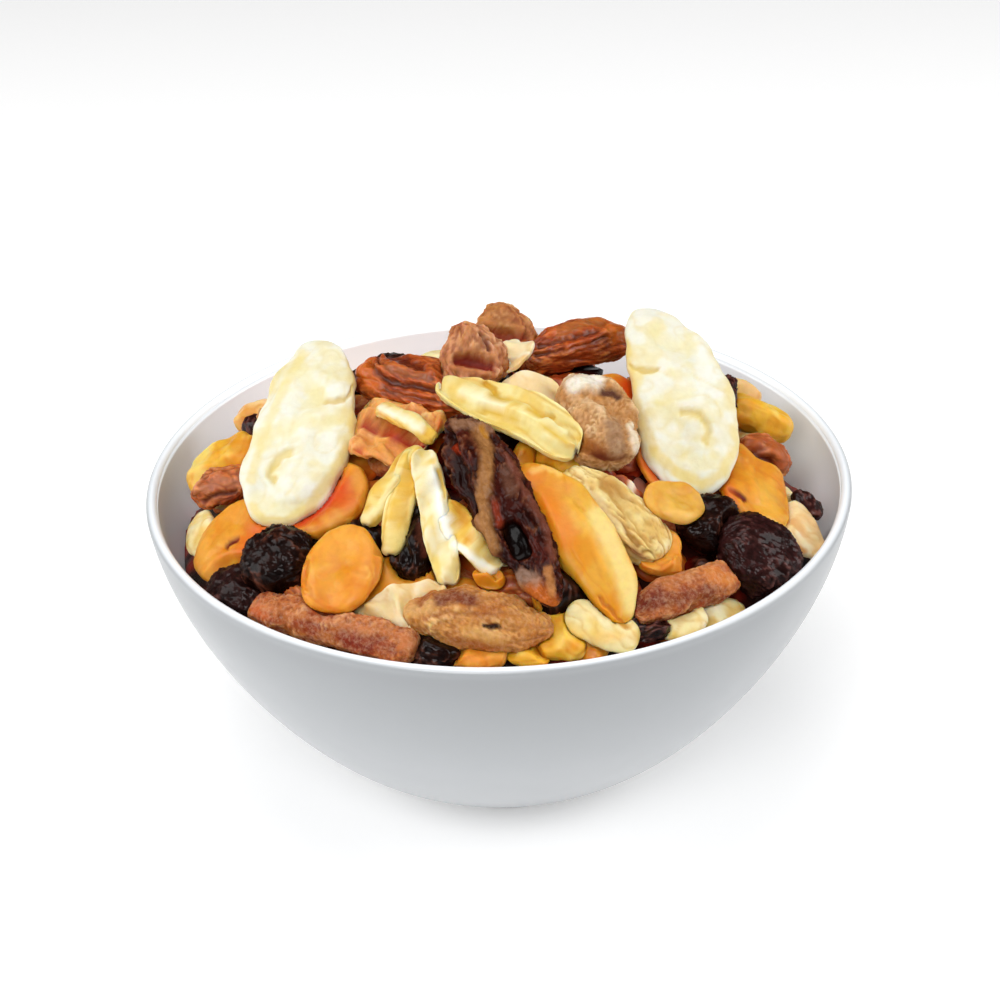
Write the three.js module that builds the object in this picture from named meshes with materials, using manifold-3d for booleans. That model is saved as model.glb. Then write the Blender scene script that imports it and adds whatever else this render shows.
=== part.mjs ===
import * as THREE from "three";
import { mergeVertices } from "three/addons/utils/BufferGeometryUtils.js";
import Module from "manifold-3d";

// A white glazed bowl heaped with mixed dried fruit. Millimetres, +Z up. The origin is the
// middle of the bowl's foot, and -Y is the side where the heap is filled up to the rim.

const wasm = await Module();
wasm.setup();

// Bowl
const rimRadius = 110;
const bowlHeight = 99.5;
const lipRadius = 1.75;
const footRadius = 43;
const footHeight = 4;
const footRingWidth = 6.5;
const footRecess = 1.5;
const floorTop = 8.5;
const wallAtFoot = 5.5;
const wallAtLip = 2 * lipRadius;
const flareAngle = 18.9;
const flareReach = 25.8;
const lipAngle = 82.7;
const lipReach = 38.7;
const bowlSides = 40;
const wallSteps = 6;

// Heap
const peakRise = 37;
const peakY = 8;
const sideFall = 0.0047;
const frontFall = 0.0031;
const backSlope = 0.62;
const crestRound = 8;
const coreDepth = 9;
const coreBump = 1;
const coreSides = 20;
const coreRings = [92, 72, 50, 26];
const coreWallTop = 62;
const coreEdge = 80;
const coreEdgeLowest = 74;
const touchGap = 0.35;
const bedding = 1.3;
const scatterCount = 240;
const scatterRadius = 94;
const scatterClear = 3.5;
const scatterRoom = 15;
const scatterSeed = 11;
const sizeSpread = 0.3;
const wallBand = 65;
const wallTurn = 0.6;
const tiltSpread = 12;
const roomTop = 180;

const fewSides = { along: 4, around: 6, dents: [] };

const degrees = Math.PI / 180;
const turnOfSeeds = Math.PI * (3 - Math.sqrt(5));

// What each sort of fruit is like. ends and sides are the powers of its outline and of its
// section (2 is round, 4 is blunt). folds run lengthwise: how many, how deep, how twisted.
// lumps: height and spacing. dents sit on the upper side: along, across, width, depth.
const sorts = {
  creamSlice: { colour: 0xfaf2cf, roughness: 0.6, ends: 2.4, sides: 3, along: 9, around: 10,
    taper: -0.18, sway: 3, bow: 3, lumps: [1.1, 17],
    dents: [[-0.45, 0.25, 0.22, 1.6], [0.3, -0.3, 0.2, 1.2]] },
  date: { colour: 0xa4582b, roughness: 0.5, ends: 2.7, sides: 2, along: 7, around: 10,
    folds: [5, 0.14, 1.2], bow: 2, lumps: [0.9, 12] },
  figCone: { colour: 0x9a4f30, roughness: 0.6, ends: 2.2, sides: 2, along: 7, around: 10, taper: -0.35,
    folds: [5, 0.1, 0.8], lumps: [1, 9], dents: [[-0.35, 0, 0.42, 4]] },
  sugaredFig: { colour: 0xcf9f78, roughness: 0.8, ends: 2.6, sides: 2.6, along: 8, around: 10,
    lumps: [1.7, 13] },
  splitPrune: { colour: 0x3f2226, roughness: 0.3, ends: 2.5, sides: 2.4, along: 9, around: 10,
    folds: [4, 0.1, 0.9], taper: -0.2, lumps: [0.9, 11],
    dents: [[-0.5, 0.45, 0.3, 3], [0.35, -0.25, 0.28, 3.5]] },
  prune: { colour: 0x2a1719, roughness: 0.3, ends: 2.1, sides: 2.1, along: 6, around: 8,
    folds: [5, 0.05, 1.6], lumps: [0.8, 8] },
  raisin: { colour: 0x8a4533, roughness: 0.45, ends: 2.2, sides: 2, along: 5, around: 7,
    folds: [4, 0.12, 1], lumps: [0.6, 7] },
  darkRaisin: { colour: 0x3c2222, roughness: 0.4, ends: 2.2, sides: 2, along: 5, around: 6,
    folds: [3, 0.1, 1], lumps: [0.4, 5] },
  apricot: { colour: 0xee9c35, roughness: 0.45, ends: 2.1, sides: 2.5, along: 5, around: 10,
    lumps: [0.8, 15], cup: 1, dents: [[0.1, 0.1, 0.4, 1]] },
  mango: { colour: 0xf2ac36, roughness: 0.4, ends: 1.9, sides: 2.6, along: 8, around: 8, bow: 4, sway: -1.5,
    lumps: [0.7, 16] },
  ridgedSlice: { colour: 0xe9c98d, roughness: 0.55, ends: 2.6, sides: 2.8, along: 7, around: 10,
    folds: [7, 0.07, 0], bow: 1.5, lumps: [0.8, 12] },
  stick: { colour: 0xa65f3d, roughness: 0.75, ends: 4.5, sides: 2.6, along: 7, around: 8, bow: 2,
    folds: [3, 0.06, 1.5], lumps: [0.7, 10] },
  spindle: { colour: 0xbb8050, roughness: 0.75, ends: 1.8, sides: 2.2, along: 8, around: 8, bow: 2,
    folds: [3, 0.07, 0.8], lumps: [0.9, 11] },
  chunk: { colour: 0xecb63e, roughness: 0.4, ends: 3.2, sides: 3, along: 4, around: 8,
    lumps: [0.7, 9] },
  orangeChunk: { colour: 0xe88c30, roughness: 0.4, ends: 3, sides: 2.8, along: 4, around: 8,
    lumps: [0.7, 9] },
  paleSlice: { colour: 0xf1d9a4, roughness: 0.5, ends: 2.3, sides: 2.6, along: 5, around: 8,
    bow: 1, lumps: [0.6, 10] },
  drop: { colour: 0xe9a93c, roughness: 0.35, ends: 2, sides: 2, along: 5, around: 7 },
  flap: { colour: 0xf3dfae, roughness: 0.55, sheet: true, along: 4, across: 3, blunt: 3, tip: 0.35,
    bow: 1.5, cup: 1.2, wave: [0.6, 1.5, 1.5] },
  foldedSlice: { colour: 0xf6e3a0, roughness: 0.5, sheet: true, along: 6, across: 5, blunt: 2.8, tip: 0.22,
    bow: 3, pleat: [1.9, 1.6, 0.9], wave: [0.8, 1.5, 0.6] },
  strip: { colour: 0xf4dc98, roughness: 0.5, sheet: true, along: 5, across: 2, blunt: 3.2, tip: 0.3,
    bow: 2, cup: -1, wave: [0.6, 2, 0.5] },
  ruffle: { colour: 0xf9eecb, roughness: 0.5, sheet: true, along: 7, across: 2, blunt: 3, tip: 0.4,
    bow: 2.5, wave: [0.9, 3, 2.4] },
  crumpled: { colour: 0xe07a2c, roughness: 0.5, sheet: true, along: 5, across: 4, blunt: 3, tip: 0.5,
    bow: 1, pleat: [1, 2.2, 1.1], wave: [1, 2.5, 1] },
};

// The fruit that lies open on the heap, the uppermost first: name, sort, one end, the other
// end, width, thickness, and how far it is rolled about its length. Two rows with one name
// grow together.
const fruit = [
  ["cream_slice_left", "creamSlice", [-64, -45, 111], [-52, 18, 140], 33, 8, 22],
  ["cream_slice_right", "creamSlice", [62, -38, 113], [51, 28, 143], 33, 8, -22],
  ["folded_slice", "foldedSlice", [-16, -17, 142], [23, -45, 135], 18, 2.4, 0],
  ["fig_front", "figCone", [-5, -10, 135], [-9, 6, 149], 19, 15, 0],
  ["fig_back", "figCone", [5, 14, 133], [1, 30, 143], 19, 14, 0],
  ["date_left", "date", [-42, 10, 132], [-1, -19, 133], 19, 15, 0],
  ["date_right", "date", [8, 10, 135], [42, 32, 130], 17, 14, 0],
  ["split_prune", "splitPrune", [-12, -36, 139], [15, -94, 110], 21, 13, 0],
  ["white_strip", "ruffle", [-22, -42, 133], [-15, -82, 112], 9, 2.6, 0],
  ["white_strip", "strip", [-18, -60, 124], [0, -80, 116], 9, 2.6, 0],
  ["forked_strip", "strip", [-24, -38, 132], [-40, -58, 118], 8, 2.4, 10],
  ["forked_strip", "strip", [-24, -39, 132], [-32, -70, 115], 8, 2.4, -10],
  ["mango_slice", "mango", [8, -48, 132], [37, -91, 105], 20, 8, 0],
  ["sugared_fig", "sugaredFig", [27, -11, 136], [32, -44, 127], 23, 15, 0],
  ["white_shred", "strip", [-36, -16, 134], [-19, -36, 134], 6, 2.2, 0],
  ["apricot_front", "apricot", [-57, -68, 107], [-34, -76, 112], 28, 8, 0],
  ["golden_oval", "apricot", [42, -55, 120], [60, -49, 114], 14, 6, 0],
  ["prune_large", "prune", [64, -58, 106], [88, -50, 93], 27, 17, 0],
  ["date_stick_right", "stick", [38, -88, 104], [68, -66, 101], 11, 9, 0],
  ["date_stick_front", "stick", [-73, -67, 96], [-25, -98, 100], 11, 9, 0],
  ["brown_spindle", "spindle", [-28, -88, 107], [14, -96, 104], 19, 11, 0],
  ["cream_leaf", "paleSlice", [18, -90, 106], [38, -95, 98], 14, 4, 0],
  ["prune_left", "prune", [-75, -52, 102], [-55, -63, 109], 21, 15, 0],
  ["prune_corner", "prune", [-87, -50, 90], [-67, -63, 98], 18, 12, 0],
  ["raisin_left", "raisin", [-95, -4, 97], [-76, -14, 108], 14, 10, 0],
  ["ridged_slice", "ridgedSlice", [19, -47, 126], [47, -68, 110], 18, 8, 0],
  ["crumpled_slice", "crumpled", [-43, -13, 128], [-20, -33, 129], 26, 2.6, 0],
  ["cream_curl", "flap", [4, -8, 141], [9, 6, 142], 9, 2.4, 0],
  ["pale_flap", "flap", [0, -19, 136], [20, -16, 134], 19, 3, 0],
  ["pale_tip", "paleSlice", [-26, 20, 129], [-9, 22, 130], 16, 4, 0],
  ["raisin_right", "raisin", [75, -4, 108], [91, 0, 99], 14, 10, 0],
  ["apricot_left", "apricot", [-92, -33, 93], [-63, -44, 108], 30, 8, 0],
  ["apricot_right", "apricot", [66, -25, 111], [88, -23, 98], 36, 8, 0],
  ["prune_right", "prune", [54, -57, 109], [70, -40, 106], 18, 14, 0],
  ["yellow_chunk_left", "chunk", [-97, 8, 95], [-76, 4, 108], 20, 10, 0],
  ["yellow_chunk_right", "chunk", [74, 23, 109], [94, 22, 98], 19, 10, 0],
  ["pale_chunk_left", "chunk", [-84, 30, 103], [-71, 30, 108], 14, 8, 0],
  ["pale_chunk_right", "chunk", [70, 42, 107], [86, 36, 102], 15, 8, 0],
  ["raisin_rear_left", "darkRaisin", [-77, 24, 108], [-78, 9, 108], 8, 7, 0],
  ["raisin_rear_right", "darkRaisin", [73, 30, 114], [77, 17, 112], 8, 7, 0],
  ["golden_ball", "drop", [8, -36, 130], [7, -47, 126], 7, 7, 0],
  ["golden_wedge", "chunk", [10, -36, 129], [27, -42, 125], 12, 7, 0],
  ["amber_piece", "orangeChunk", [31, -46, 122], [39, -59, 117], 13, 7, 0],
  ["golden_drop", "drop", [-8, -80, 113], [1, -83, 111], 7, 6, 0],
  ["cream_tail", "flap", [-43, -86, 101], [-15, -85, 108], 14, 3, 0],
  ["apricot_shaded", "apricot", [-63, -34, 109], [-39, -42, 117], 28, 8, 0],
  ["apricot_deep", "apricot", [42, -26, 119], [66, -28, 109], 28, 8, 0],
  ["apricot_wedge", "orangeChunk", [45, -58, 112], [46, -73, 106], 14, 8, 0],
  ["orange_flap", "apricot", [33, 4, 130], [46, -18, 123], 18, 6, 0],
  ["prune_shaded", "prune", [-26, -54, 119], [-25, -76, 109], 14, 12, 0],
  ["prune_front", "prune", [-26, -95, 99], [-12, -97, 99], 14, 12, 0],
  ["orange_front", "orangeChunk", [-17, -96, 100], [1, -99, 98], 12, 8, 0],
  ["yellow_front", "chunk", [9, -95, 100], [23, -94, 100], 13, 8, 0],
  ["raisin_front", "darkRaisin", [36, -92, 100], [47, -88, 99], 9, 8, 0],
  ["golden_front", "chunk", [1, -98, 98], [13, -99, 98], 9, 6, 0],
  ["pale_slice_right", "paleSlice", [84, -36, 98], [98, -26, 91], 21, 4.5, 0],
  ["pale_slice_left", "paleSlice", [-94, -10, 93], [-90, -34, 94], 11, 4, 0],
  ["pale_bit_front", "paleSlice", [44, -89, 98], [58, -80, 98], 11, 4, 0],
  ["raisin_edge", "darkRaisin", [91, -14, 97], [99, -20, 91], 8, 6, 0],
];

// Fruit that shows only in the gaps between those, lying on the core: sort, one end and the
// other end in plan, width, thickness.
const tucked = [
  ["apricot", [-43, -71], [-19, -79], 22, 9],
  ["apricot", [-30, -42], [-16, -60], 18, 10],
  ["prune", [13, -78], [24, -93], 16, 13],
  ["prune", [-46, -52], [-34, -64], 14, 12],
  ["raisin", [-71, -60], [-55, -72], 12, 12],
  ["orangeChunk", [21, -93], [29, -95], 9, 8],
  ["paleSlice", [55, -80], [71, -66], 12, 8],
  ["darkRaisin", [49, -82], [56, -79], 6, 9],
  ["darkRaisin", [39, -54], [45, -60], 6, 9],
  ["paleSlice", [83, -16], [92, -8], 12, 8],
  ["prune", [2, -27], [10, -41], 16, 13],
  ["apricot", [10, -87], [22, -80], 20, 9],
  ["paleSlice", [-78, 38], [-86, -8], 19, 13],
  ["paleSlice", [75, 44], [85, 6], 19, 13],
  ["spindle", [-31, 16], [-4, 25], 17, 11],
  ["prune", [-6, 18], [9, 25], 16, 12],
  ["prune", [18, 18], [33, 25], 16, 10],
  ["sugaredFig", [-66, -4], [-56, 26], 24, 21],
  ["sugaredFig", [55, -2], [53, 30], 25, 22],
];

// The height of the heap's upper face over the plan: a hill that falls off evenly to the
// front, further to the sides, and like a slope of loose pieces to the back.
function heapHeight(x, y) {
  const away = y - peakY;
  const behind = backSlope * (Math.hypot(away, crestRound) - crestRound);
  const fall = away < 0 ? frontFall * away * away : behind;
  return bowlHeight + peakRise - sideFall * x * x - fall;
}

// The core's upper face, bumpy and below the lying fruit.
function coreHeight(x, y) {
  const radius = Math.hypot(x, y);
  const turn = Math.atan2(y, x);
  const bump = coreBump * Math.sin(3 * turn + radius / 9) * Math.cos(2 * turn - radius / 13);
  return heapHeight(x, y) - coreDepth + bump;
}

function heapNormal(x, y) {
  const away = y - peakY;
  const slope = away < 0 ? 2 * frontFall * away : (backSlope * away) / Math.hypot(away, crestRound);
  return new THREE.Vector3(2 * sideFall * x, slope, 1).normalize();
}

// Even draws from 0 to 1, the same each time for one seed.
function drawsFrom(seed) {
  let state = seed * 7919;
  return () => {
    state = (state * 16807) % 2147483647;
    return state / 2147483647;
  };
}

const power = (value, p) => Math.sign(value) * Math.abs(value) ** p;

// Soft swellings of about the given spacing, between -1 and 1.
function swelling(x, y, z, spacing, seed) {
  let sum = 0;
  for (let k = 0; k < 3; k += 1) {
    const turn = seed + 2.1 * k;
    const across = x * Math.cos(turn) + y * Math.sin(turn) + z * Math.sin(1.7 * turn);
    sum += Math.sin((2 * Math.PI * across) / spacing + seed * (k + 1));
  }
  return sum / 3;
}

// A fleshy piece: a ball drawn out along X, then squared, folded, dented, bent and swollen.
function fleshyPiece(length, width, thick, form, seed) {
  const ball = new THREE.SphereGeometry(1, form.around, form.along);
  ball.rotateZ(-Math.PI / 2);
  ball.deleteAttribute("normal");
  ball.deleteAttribute("uv");
  const shape = mergeVertices(ball, 1e-5);
  const at = shape.attributes.position;
  const [foldCount, foldDepth, foldTwist] = form.folds ?? [0, 0, 0];
  const [lumpHeight, lumpSpacing] = form.lumps ?? [0, 1];
  for (let i = 0; i < at.count; i += 1) {
    const round = Math.hypot(at.getY(i), at.getZ(i));
    const cosine = round > 1e-6 ? at.getY(i) / round : 1;
    const sine = round > 1e-6 ? at.getZ(i) / round : 0;
    const u = power(at.getX(i), 2 / form.ends);
    const reach = power(round, 2 / form.ends);
    const v = reach * power(cosine, 2 / form.sides);
    const w = reach * power(sine, 2 / form.sides);
    const angle = Math.atan2(sine, cosine);
    const crease = 1 + foldDepth * Math.cos(foldCount * angle + foldTwist * u * 2 + seed);
    const narrow = 1 + (form.taper ?? 0) * u;
    const x = (length / 2) * u;
    let y = (width / 2) * v * crease * narrow;
    let z = (thick / 2) * w * crease * narrow;
    const lump = lumpHeight * reach * swelling(x, y, z, lumpSpacing, seed);
    y += lump * cosine;
    z += lump * sine;
    if (sine > 0) {
      for (const [alongAt, acrossAt, size, depth] of form.dents ?? []) {
        const off = ((u - alongAt) / size) ** 2 + ((v - acrossAt) / size / 1.6) ** 2;
        z -= depth * Math.exp(-off) * Math.min(1, sine * 1.5);
      }
    }
    z += (form.cup ?? 0) * v * v - (form.bow ?? 0) * u * u;
    y += (form.sway ?? 0) * u * u;
    at.setXYZ(i, x, y, z);
  }
  return shape;
}

// A thin piece: a sheet over X and Y, waved and pleated, with the same triangles on both faces.
function thinPiece(length, width, thick, form) {
  const sheet = new THREE.PlaneGeometry(2, 2, form.along, form.across);
  const at = sheet.attributes.position;
  const [waveHeight, waveCount, waveSkew] = form.wave ?? [0, 0, 0];
  const [pleatHeight, pleatCount, pleatSkew] = form.pleat ?? [0, 0, 0];
  for (let i = 0; i < at.count; i += 1) {
    const u = at.getX(i);
    const v = at.getY(i);
    const outline = form.tip + (1 - form.tip) * (1 - Math.abs(u) ** form.blunt) ** (1 / form.blunt);
    const wave = waveHeight * Math.sin(Math.PI * waveCount * u + waveSkew * v);
    const pleat = pleatHeight * Math.cos(Math.PI * pleatCount * v + pleatSkew * u);
    const z = wave + pleat + (form.cup ?? 0) * v * v - (form.bow ?? 0) * u * u;
    at.setXYZ(i, (length / 2) * u, (width / 2) * v * outline, z);
  }
  sheet.computeVertexNormals();
  const facing = sheet.attributes.normal;
  const points = [];
  for (const side of [1, -1]) {
    for (let i = 0; i < at.count; i += 1) {
      const point = new THREE.Vector3().fromBufferAttribute(at, i);
      const normal = new THREE.Vector3().fromBufferAttribute(facing, i);
      points.push(...point.addScaledVector(normal, (side * thick) / 2).toArray());
    }
  }
  const faces = [];
  const upper = sheet.index.array;
  for (let i = 0; i < upper.length; i += 3) {
    const [a, b, c] = upper.slice(i, i + 3);
    faces.push(a, b, c, a + at.count, c + at.count, b + at.count);
  }
  const row = form.along + 1;
  const last = form.across * row;
  const rim = [];
  for (let i = 0; i < form.along; i += 1) rim.push(i);
  for (let i = 0; i < form.across; i += 1) rim.push(form.along + i * row);
  for (let i = form.along; i > 0; i -= 1) rim.push(last + i);
  for (let i = form.across; i > 0; i -= 1) rim.push(i * row);
  rim.forEach((a, k) => {
    const b = rim[(k + 1) % rim.length];
    faces.push(a, b, a + at.count, b, b + at.count, a + at.count);
  });
  const solid = new THREE.BufferGeometry();
  solid.setAttribute("position", new THREE.Float32BufferAttribute(points, 3));
  solid.setIndex(faces);
  return solid;
}

// Lays a piece from one end to the other, its upper side away from the heap.
function layPiece(sortName, from, to, width, thick, roll, seed, grown = 0, coarse = {}) {
  const form = { ...sorts[sortName], ...coarse };
  const start = new THREE.Vector3(...from);
  const lengthwise = new THREE.Vector3(...to).sub(start);
  const length = lengthwise.length() + 2 * grown;
  const middle = start.addScaledVector(lengthwise, 0.5);
  lengthwise.normalize();
  const outward = heapNormal(middle.x, middle.y);
  outward.addScaledVector(lengthwise, -outward.dot(lengthwise)).normalize();
  const sideways = new THREE.Vector3().crossVectors(outward, lengthwise);
  const make = form.sheet ? thinPiece : fleshyPiece;
  const shape = make(length, width + 2 * grown, thick + 2 * grown, form, seed);
  shape.rotateX(roll * degrees);
  const frame = new THREE.Matrix4().makeBasis(lengthwise, sideways, outward);
  frame.setPosition(middle);
  return shape.applyMatrix4(frame);
}

function toSolid(geometry) {
  geometry.deleteAttribute("normal");
  geometry.deleteAttribute("uv");
  const merged = mergeVertices(geometry, 1e-4);
  const vertProperties = Float32Array.from(merged.attributes.position.array);
  const triVerts = Uint32Array.from(merged.index.array);
  return new wasm.Manifold(new wasm.Mesh({ numProp: 3, vertProperties, triVerts }));
}

function toGeometry(solid) {
  const mesh = solid.getMesh();
  const geometry = new THREE.BufferGeometry();
  geometry.setAttribute("position", new THREE.Float32BufferAttribute(mesh.vertProperties, 3));
  geometry.setIndex(Array.from(mesh.triVerts));
  return geometry;
}

// The largest body of a solid, without scraps and with shut hollows filled.
function largestBody(solid) {
  const bodies = solid.decompose();
  return bodies.reduce((best, body) => (body.volume() > best.volume() ? body : best));
}

function boxesMeet(a, b) {
  const p = a.boundingBox();
  const q = b.boundingBox();
  return [0, 1, 2].every((k) => p.min[k] < q.max[k] && q.min[k] < p.max[k]);
}

function cutBy(solid, others) {
  return others.reduce((left, other) => (boxesMeet(left, other) ? left.subtract(other) : left), solid);
}

// Bowl: one profile from the middle of the recessed foot, up the outside, over the rounded
// lip and down the inside to the middle of the floor.
const lipHeight = bowlHeight - lipRadius;
const foot = new THREE.Vector2(footRadius + 0.5, footHeight);
const lip = new THREE.Vector2(rimRadius, lipHeight);
const flare = new THREE.Vector2(Math.cos(flareAngle * degrees), Math.sin(flareAngle * degrees));
const upright = new THREE.Vector2(Math.cos(lipAngle * degrees), Math.sin(lipAngle * degrees));
const outerCurve = new THREE.CubicBezierCurve(
  foot,
  foot.clone().addScaledVector(flare, flareReach),
  lip.clone().addScaledVector(upright, -lipReach),
  lip,
);

function innerWall(t) {
  const point = outerCurve.getPoint(t);
  const tangent = outerCurve.getTangent(t);
  const wall = wallAtFoot + (wallAtLip - wallAtFoot) * t;
  return new THREE.Vector2(point.x - tangent.y * wall, point.y + tangent.x * wall);
}

const outerProfile = outerCurve.getPoints(wallSteps);
const innerProfile = [];
for (let i = 0; i < wallSteps; i += 1) innerProfile.push(innerWall(i / wallSteps));
innerProfile.push(new THREE.Vector2(rimRadius - wallAtLip, lipHeight));

const lipProfile = [45, 90, 135].map((angle) => new THREE.Vector2(
  rimRadius - lipRadius + lipRadius * Math.cos(angle * degrees),
  lipHeight + lipRadius * Math.sin(angle * degrees),
));

const bowlProfile = [
  new THREE.Vector2(0, footRecess),
  new THREE.Vector2(footRadius - footRingWidth, footRecess),
  new THREE.Vector2(footRadius - footRingWidth + 0.8, 0),
  new THREE.Vector2(footRadius - 0.8, 0),
  new THREE.Vector2(footRadius, 0.8),
  ...outerProfile,
  ...lipProfile,
  ...innerProfile.toReversed(),
  new THREE.Vector2(0, floorTop),
];
const bowlShape = new THREE.LatheGeometry(bowlProfile, bowlSides);
bowlShape.rotateX(Math.PI / 2);

// The room for fruit: everything inside the wall by the touching gap, and straight up
// from the lip.
const roomProfile = [
  new THREE.Vector2(0, floorTop + touchGap),
  ...innerProfile.map((p) => new THREE.Vector2(p.x - touchGap, p.y + touchGap)),
  new THREE.Vector2(rimRadius - wallAtLip - touchGap, roomTop),
  new THREE.Vector2(0, roomTop),
];
const roomShape = new THREE.LatheGeometry(roomProfile, bowlSides);
roomShape.rotateX(Math.PI / 2);
const room = toSolid(roomShape);

// Where the inner wall is at a height.
function wallRadius(z) {
  const above = innerProfile.findIndex((p) => p.y >= z);
  const low = innerProfile[above - 1];
  const high = innerProfile[above];
  return low.x + ((high.x - low.x) * (z - low.y)) / (high.y - low.y);
}

// The heap's core: fills the bowl, its upper face bumpy and below the lying fruit.
const wallRings = innerProfile.filter((p, i) => i % 2 === 0 && p.y < coreWallTop);
const coreProfile = [
  new THREE.Vector2(0, floorTop + touchGap),
  ...wallRings.map((p) => new THREE.Vector2(p.x - touchGap, p.y + touchGap)),
  ...[wallRadius(coreEdge), ...coreRings, 0].map((r) => new THREE.Vector2(r, coreEdge)),
];
const coreShape = new THREE.LatheGeometry(coreProfile, coreSides);
coreShape.rotateX(Math.PI / 2);
const coreAt = coreShape.attributes.position;
for (let i = 0; i < coreAt.count; i += 1) {
  if (coreAt.getZ(i) < coreEdge - 0.1) continue;
  const radius = Math.hypot(coreAt.getX(i), coreAt.getY(i));
  const turn = Math.atan2(coreAt.getY(i), coreAt.getX(i));
  const edge = radius > coreRings[0] + 1;
  const level = coreHeight(radius * Math.cos(turn), radius * Math.sin(turn));
  const height = edge ? Math.max(level, coreEdgeLowest) : level;
  const out = edge ? wallRadius(height) - touchGap : radius;
  coreAt.setXYZ(i, out * Math.cos(turn), out * Math.sin(turn), height);
}

// Loose fruit laid first, where the core would show: each turned and sized by a seeded draw.
const under = [
  "apricot", "date", "prune", "chunk", "creamSlice", "raisin", "apricot", "spindle", "mango", "prune",
];
const underSizes = {
  apricot: [26, 25, 8], date: [38, 15, 13], prune: [23, 19, 14], chunk: [17, 15, 9], raisin: [18, 13, 10],
  creamSlice: [46, 26, 8], spindle: [38, 13, 10], mango: [42, 18, 8],
};

// Whether a piece lies over a place in plan with no room for another one below it.
function isCovered(x, y, places) {
  const point = new THREE.Vector3(x, y, 0);
  const nearest = new THREE.Vector3();
  return places.some(([from, to, width]) => {
    const ends = [from, to].map((end) => new THREE.Vector3(end[0], end[1], 0));
    const line = new THREE.Line3(...ends);
    const t = line.closestPointToPointParameter(point, true);
    line.at(t, nearest);
    const height = from[2] + (to[2] - from[2]) * t;
    const isNear = nearest.distanceTo(point) < width / 2 + scatterClear;
    return isNear && height - coreHeight(x, y) < scatterRoom;
  });
}

// The end of a piece that is bedded a little into the core's upper face.
const restAt = ([x, y], thick) => [x, y, coreHeight(x, y) + thick / 2 - bedding];

function underFruit() {
  const draw = drawsFrom(scatterSeed);
  const laid = [];
  const places = fruit.map(([, , from, to, width]) => [from, to, width]);
  const rest = (sortName, start, end, width, thick, tilt) => {
    const ends = [restAt(start, thick), restAt(end, thick)];
    places.push([...ends, width]);
    laid.push(toSolid(layPiece(sortName, ...ends, width, thick, tilt, laid.length, 0, fewSides)));
  };
  for (const row of tucked) rest(...row, 0);
  for (let i = 0; i < scatterCount; i += 1) {
    const radius = scatterRadius * Math.sqrt((i + 0.5) / scatterCount);
    const turn = i * turnOfSeeds;
    const x = radius * Math.cos(turn);
    const y = radius * Math.sin(turn);
    if (isCovered(x, y, places)) continue;
    const sortName = under[laid.length % under.length];
    const grow = () => 1 + sizeSpread * (draw() - 0.5);
    const [length, width, thick] = underSizes[sortName].map((size) => size * grow());
    const alongWall = turn + Math.PI / 2 + wallTurn * (draw() - 0.5);
    const heading = radius > wallBand ? alongWall : Math.PI * draw();
    const tilt = tiltSpread * (draw() - 0.5);
    const dx = (length / 2) * Math.cos(heading);
    const dy = (length / 2) * Math.sin(heading);
    rest(sortName, [x - dx, y - dy], [x + dx, y + dy], width, thick, tilt);
  }
  return laid;
}

const group = new THREE.Group();

function addMesh(name, geometry, colour, roughness) {
  geometry.computeBoundingBox();
  const middle = geometry.boundingBox.getCenter(new THREE.Vector3());
  if (name !== "bowl") geometry.translate(-middle.x, -middle.y, -middle.z);
  const material = new THREE.MeshStandardMaterial({ color: colour, roughness, metalness: 0 });
  const mesh = new THREE.Mesh(geometry, material);
  mesh.name = name;
  if (name !== "bowl") mesh.position.copy(middle);
  group.add(mesh);
}

addMesh("bowl", bowlShape, 0xf2f2f2, 0.12);

// Each piece gives way to those that lie on it, by the touching gap.
const upper = [];
const names = [...new Set(fruit.map(([name]) => name))];
for (const name of names) {
  const rows = fruit.filter((row) => row[0] === name);
  const lay = (row, grown) => toSolid(layPiece(...row.slice(1), 1 + fruit.indexOf(row) * 0.7, grown));
  const whole = rows.map((row) => lay(row, 0)).reduce((a, b) => a.add(b));
  const piece = largestBody(cutBy(whole.intersect(room), upper));
  upper.push(...rows.map((row) => lay(row, touchGap)));
  if (sorts[rows[0][1]].sheet) upper.push(piece);
  const { colour, roughness } = sorts[rows[0][1]];
  addMesh(name, toGeometry(piece), colour, roughness);
}

const heaped = underFruit().reduce((a, b) => a.add(b), toSolid(coreShape)).intersect(room);
addMesh("fruit_heap", toGeometry(largestBody(cutBy(heaped, upper))), 0xb3602e, 0.6);

export default group;
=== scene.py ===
# %% [markdown]
# # A bowl heaped with dried fruit
#
# On the table stands a white glazed bowl, 22 cm across, with a hill of dried fruit in it: long
# cream slices, dates, figs, prunes, apricots, raisins and chips of many sorts. The construction
# model already knows where every piece lies, but its pieces have few sides. This lesson makes
# the fine surface of each one: wrinkles, creases and lumps as real geometry, and flesh that
# lets a little light in.
#
# The first cell loads the construction model as a fixed frame. Everything else is placed in
# that frame, so each fine piece lies where its solid does. Blender counts in metres, but fruit
# is easier to think of in millimetres, so the script measures in those and converts once.

import math

import bpy
import numpy as np
from mathutils import Matrix, Vector


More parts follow.
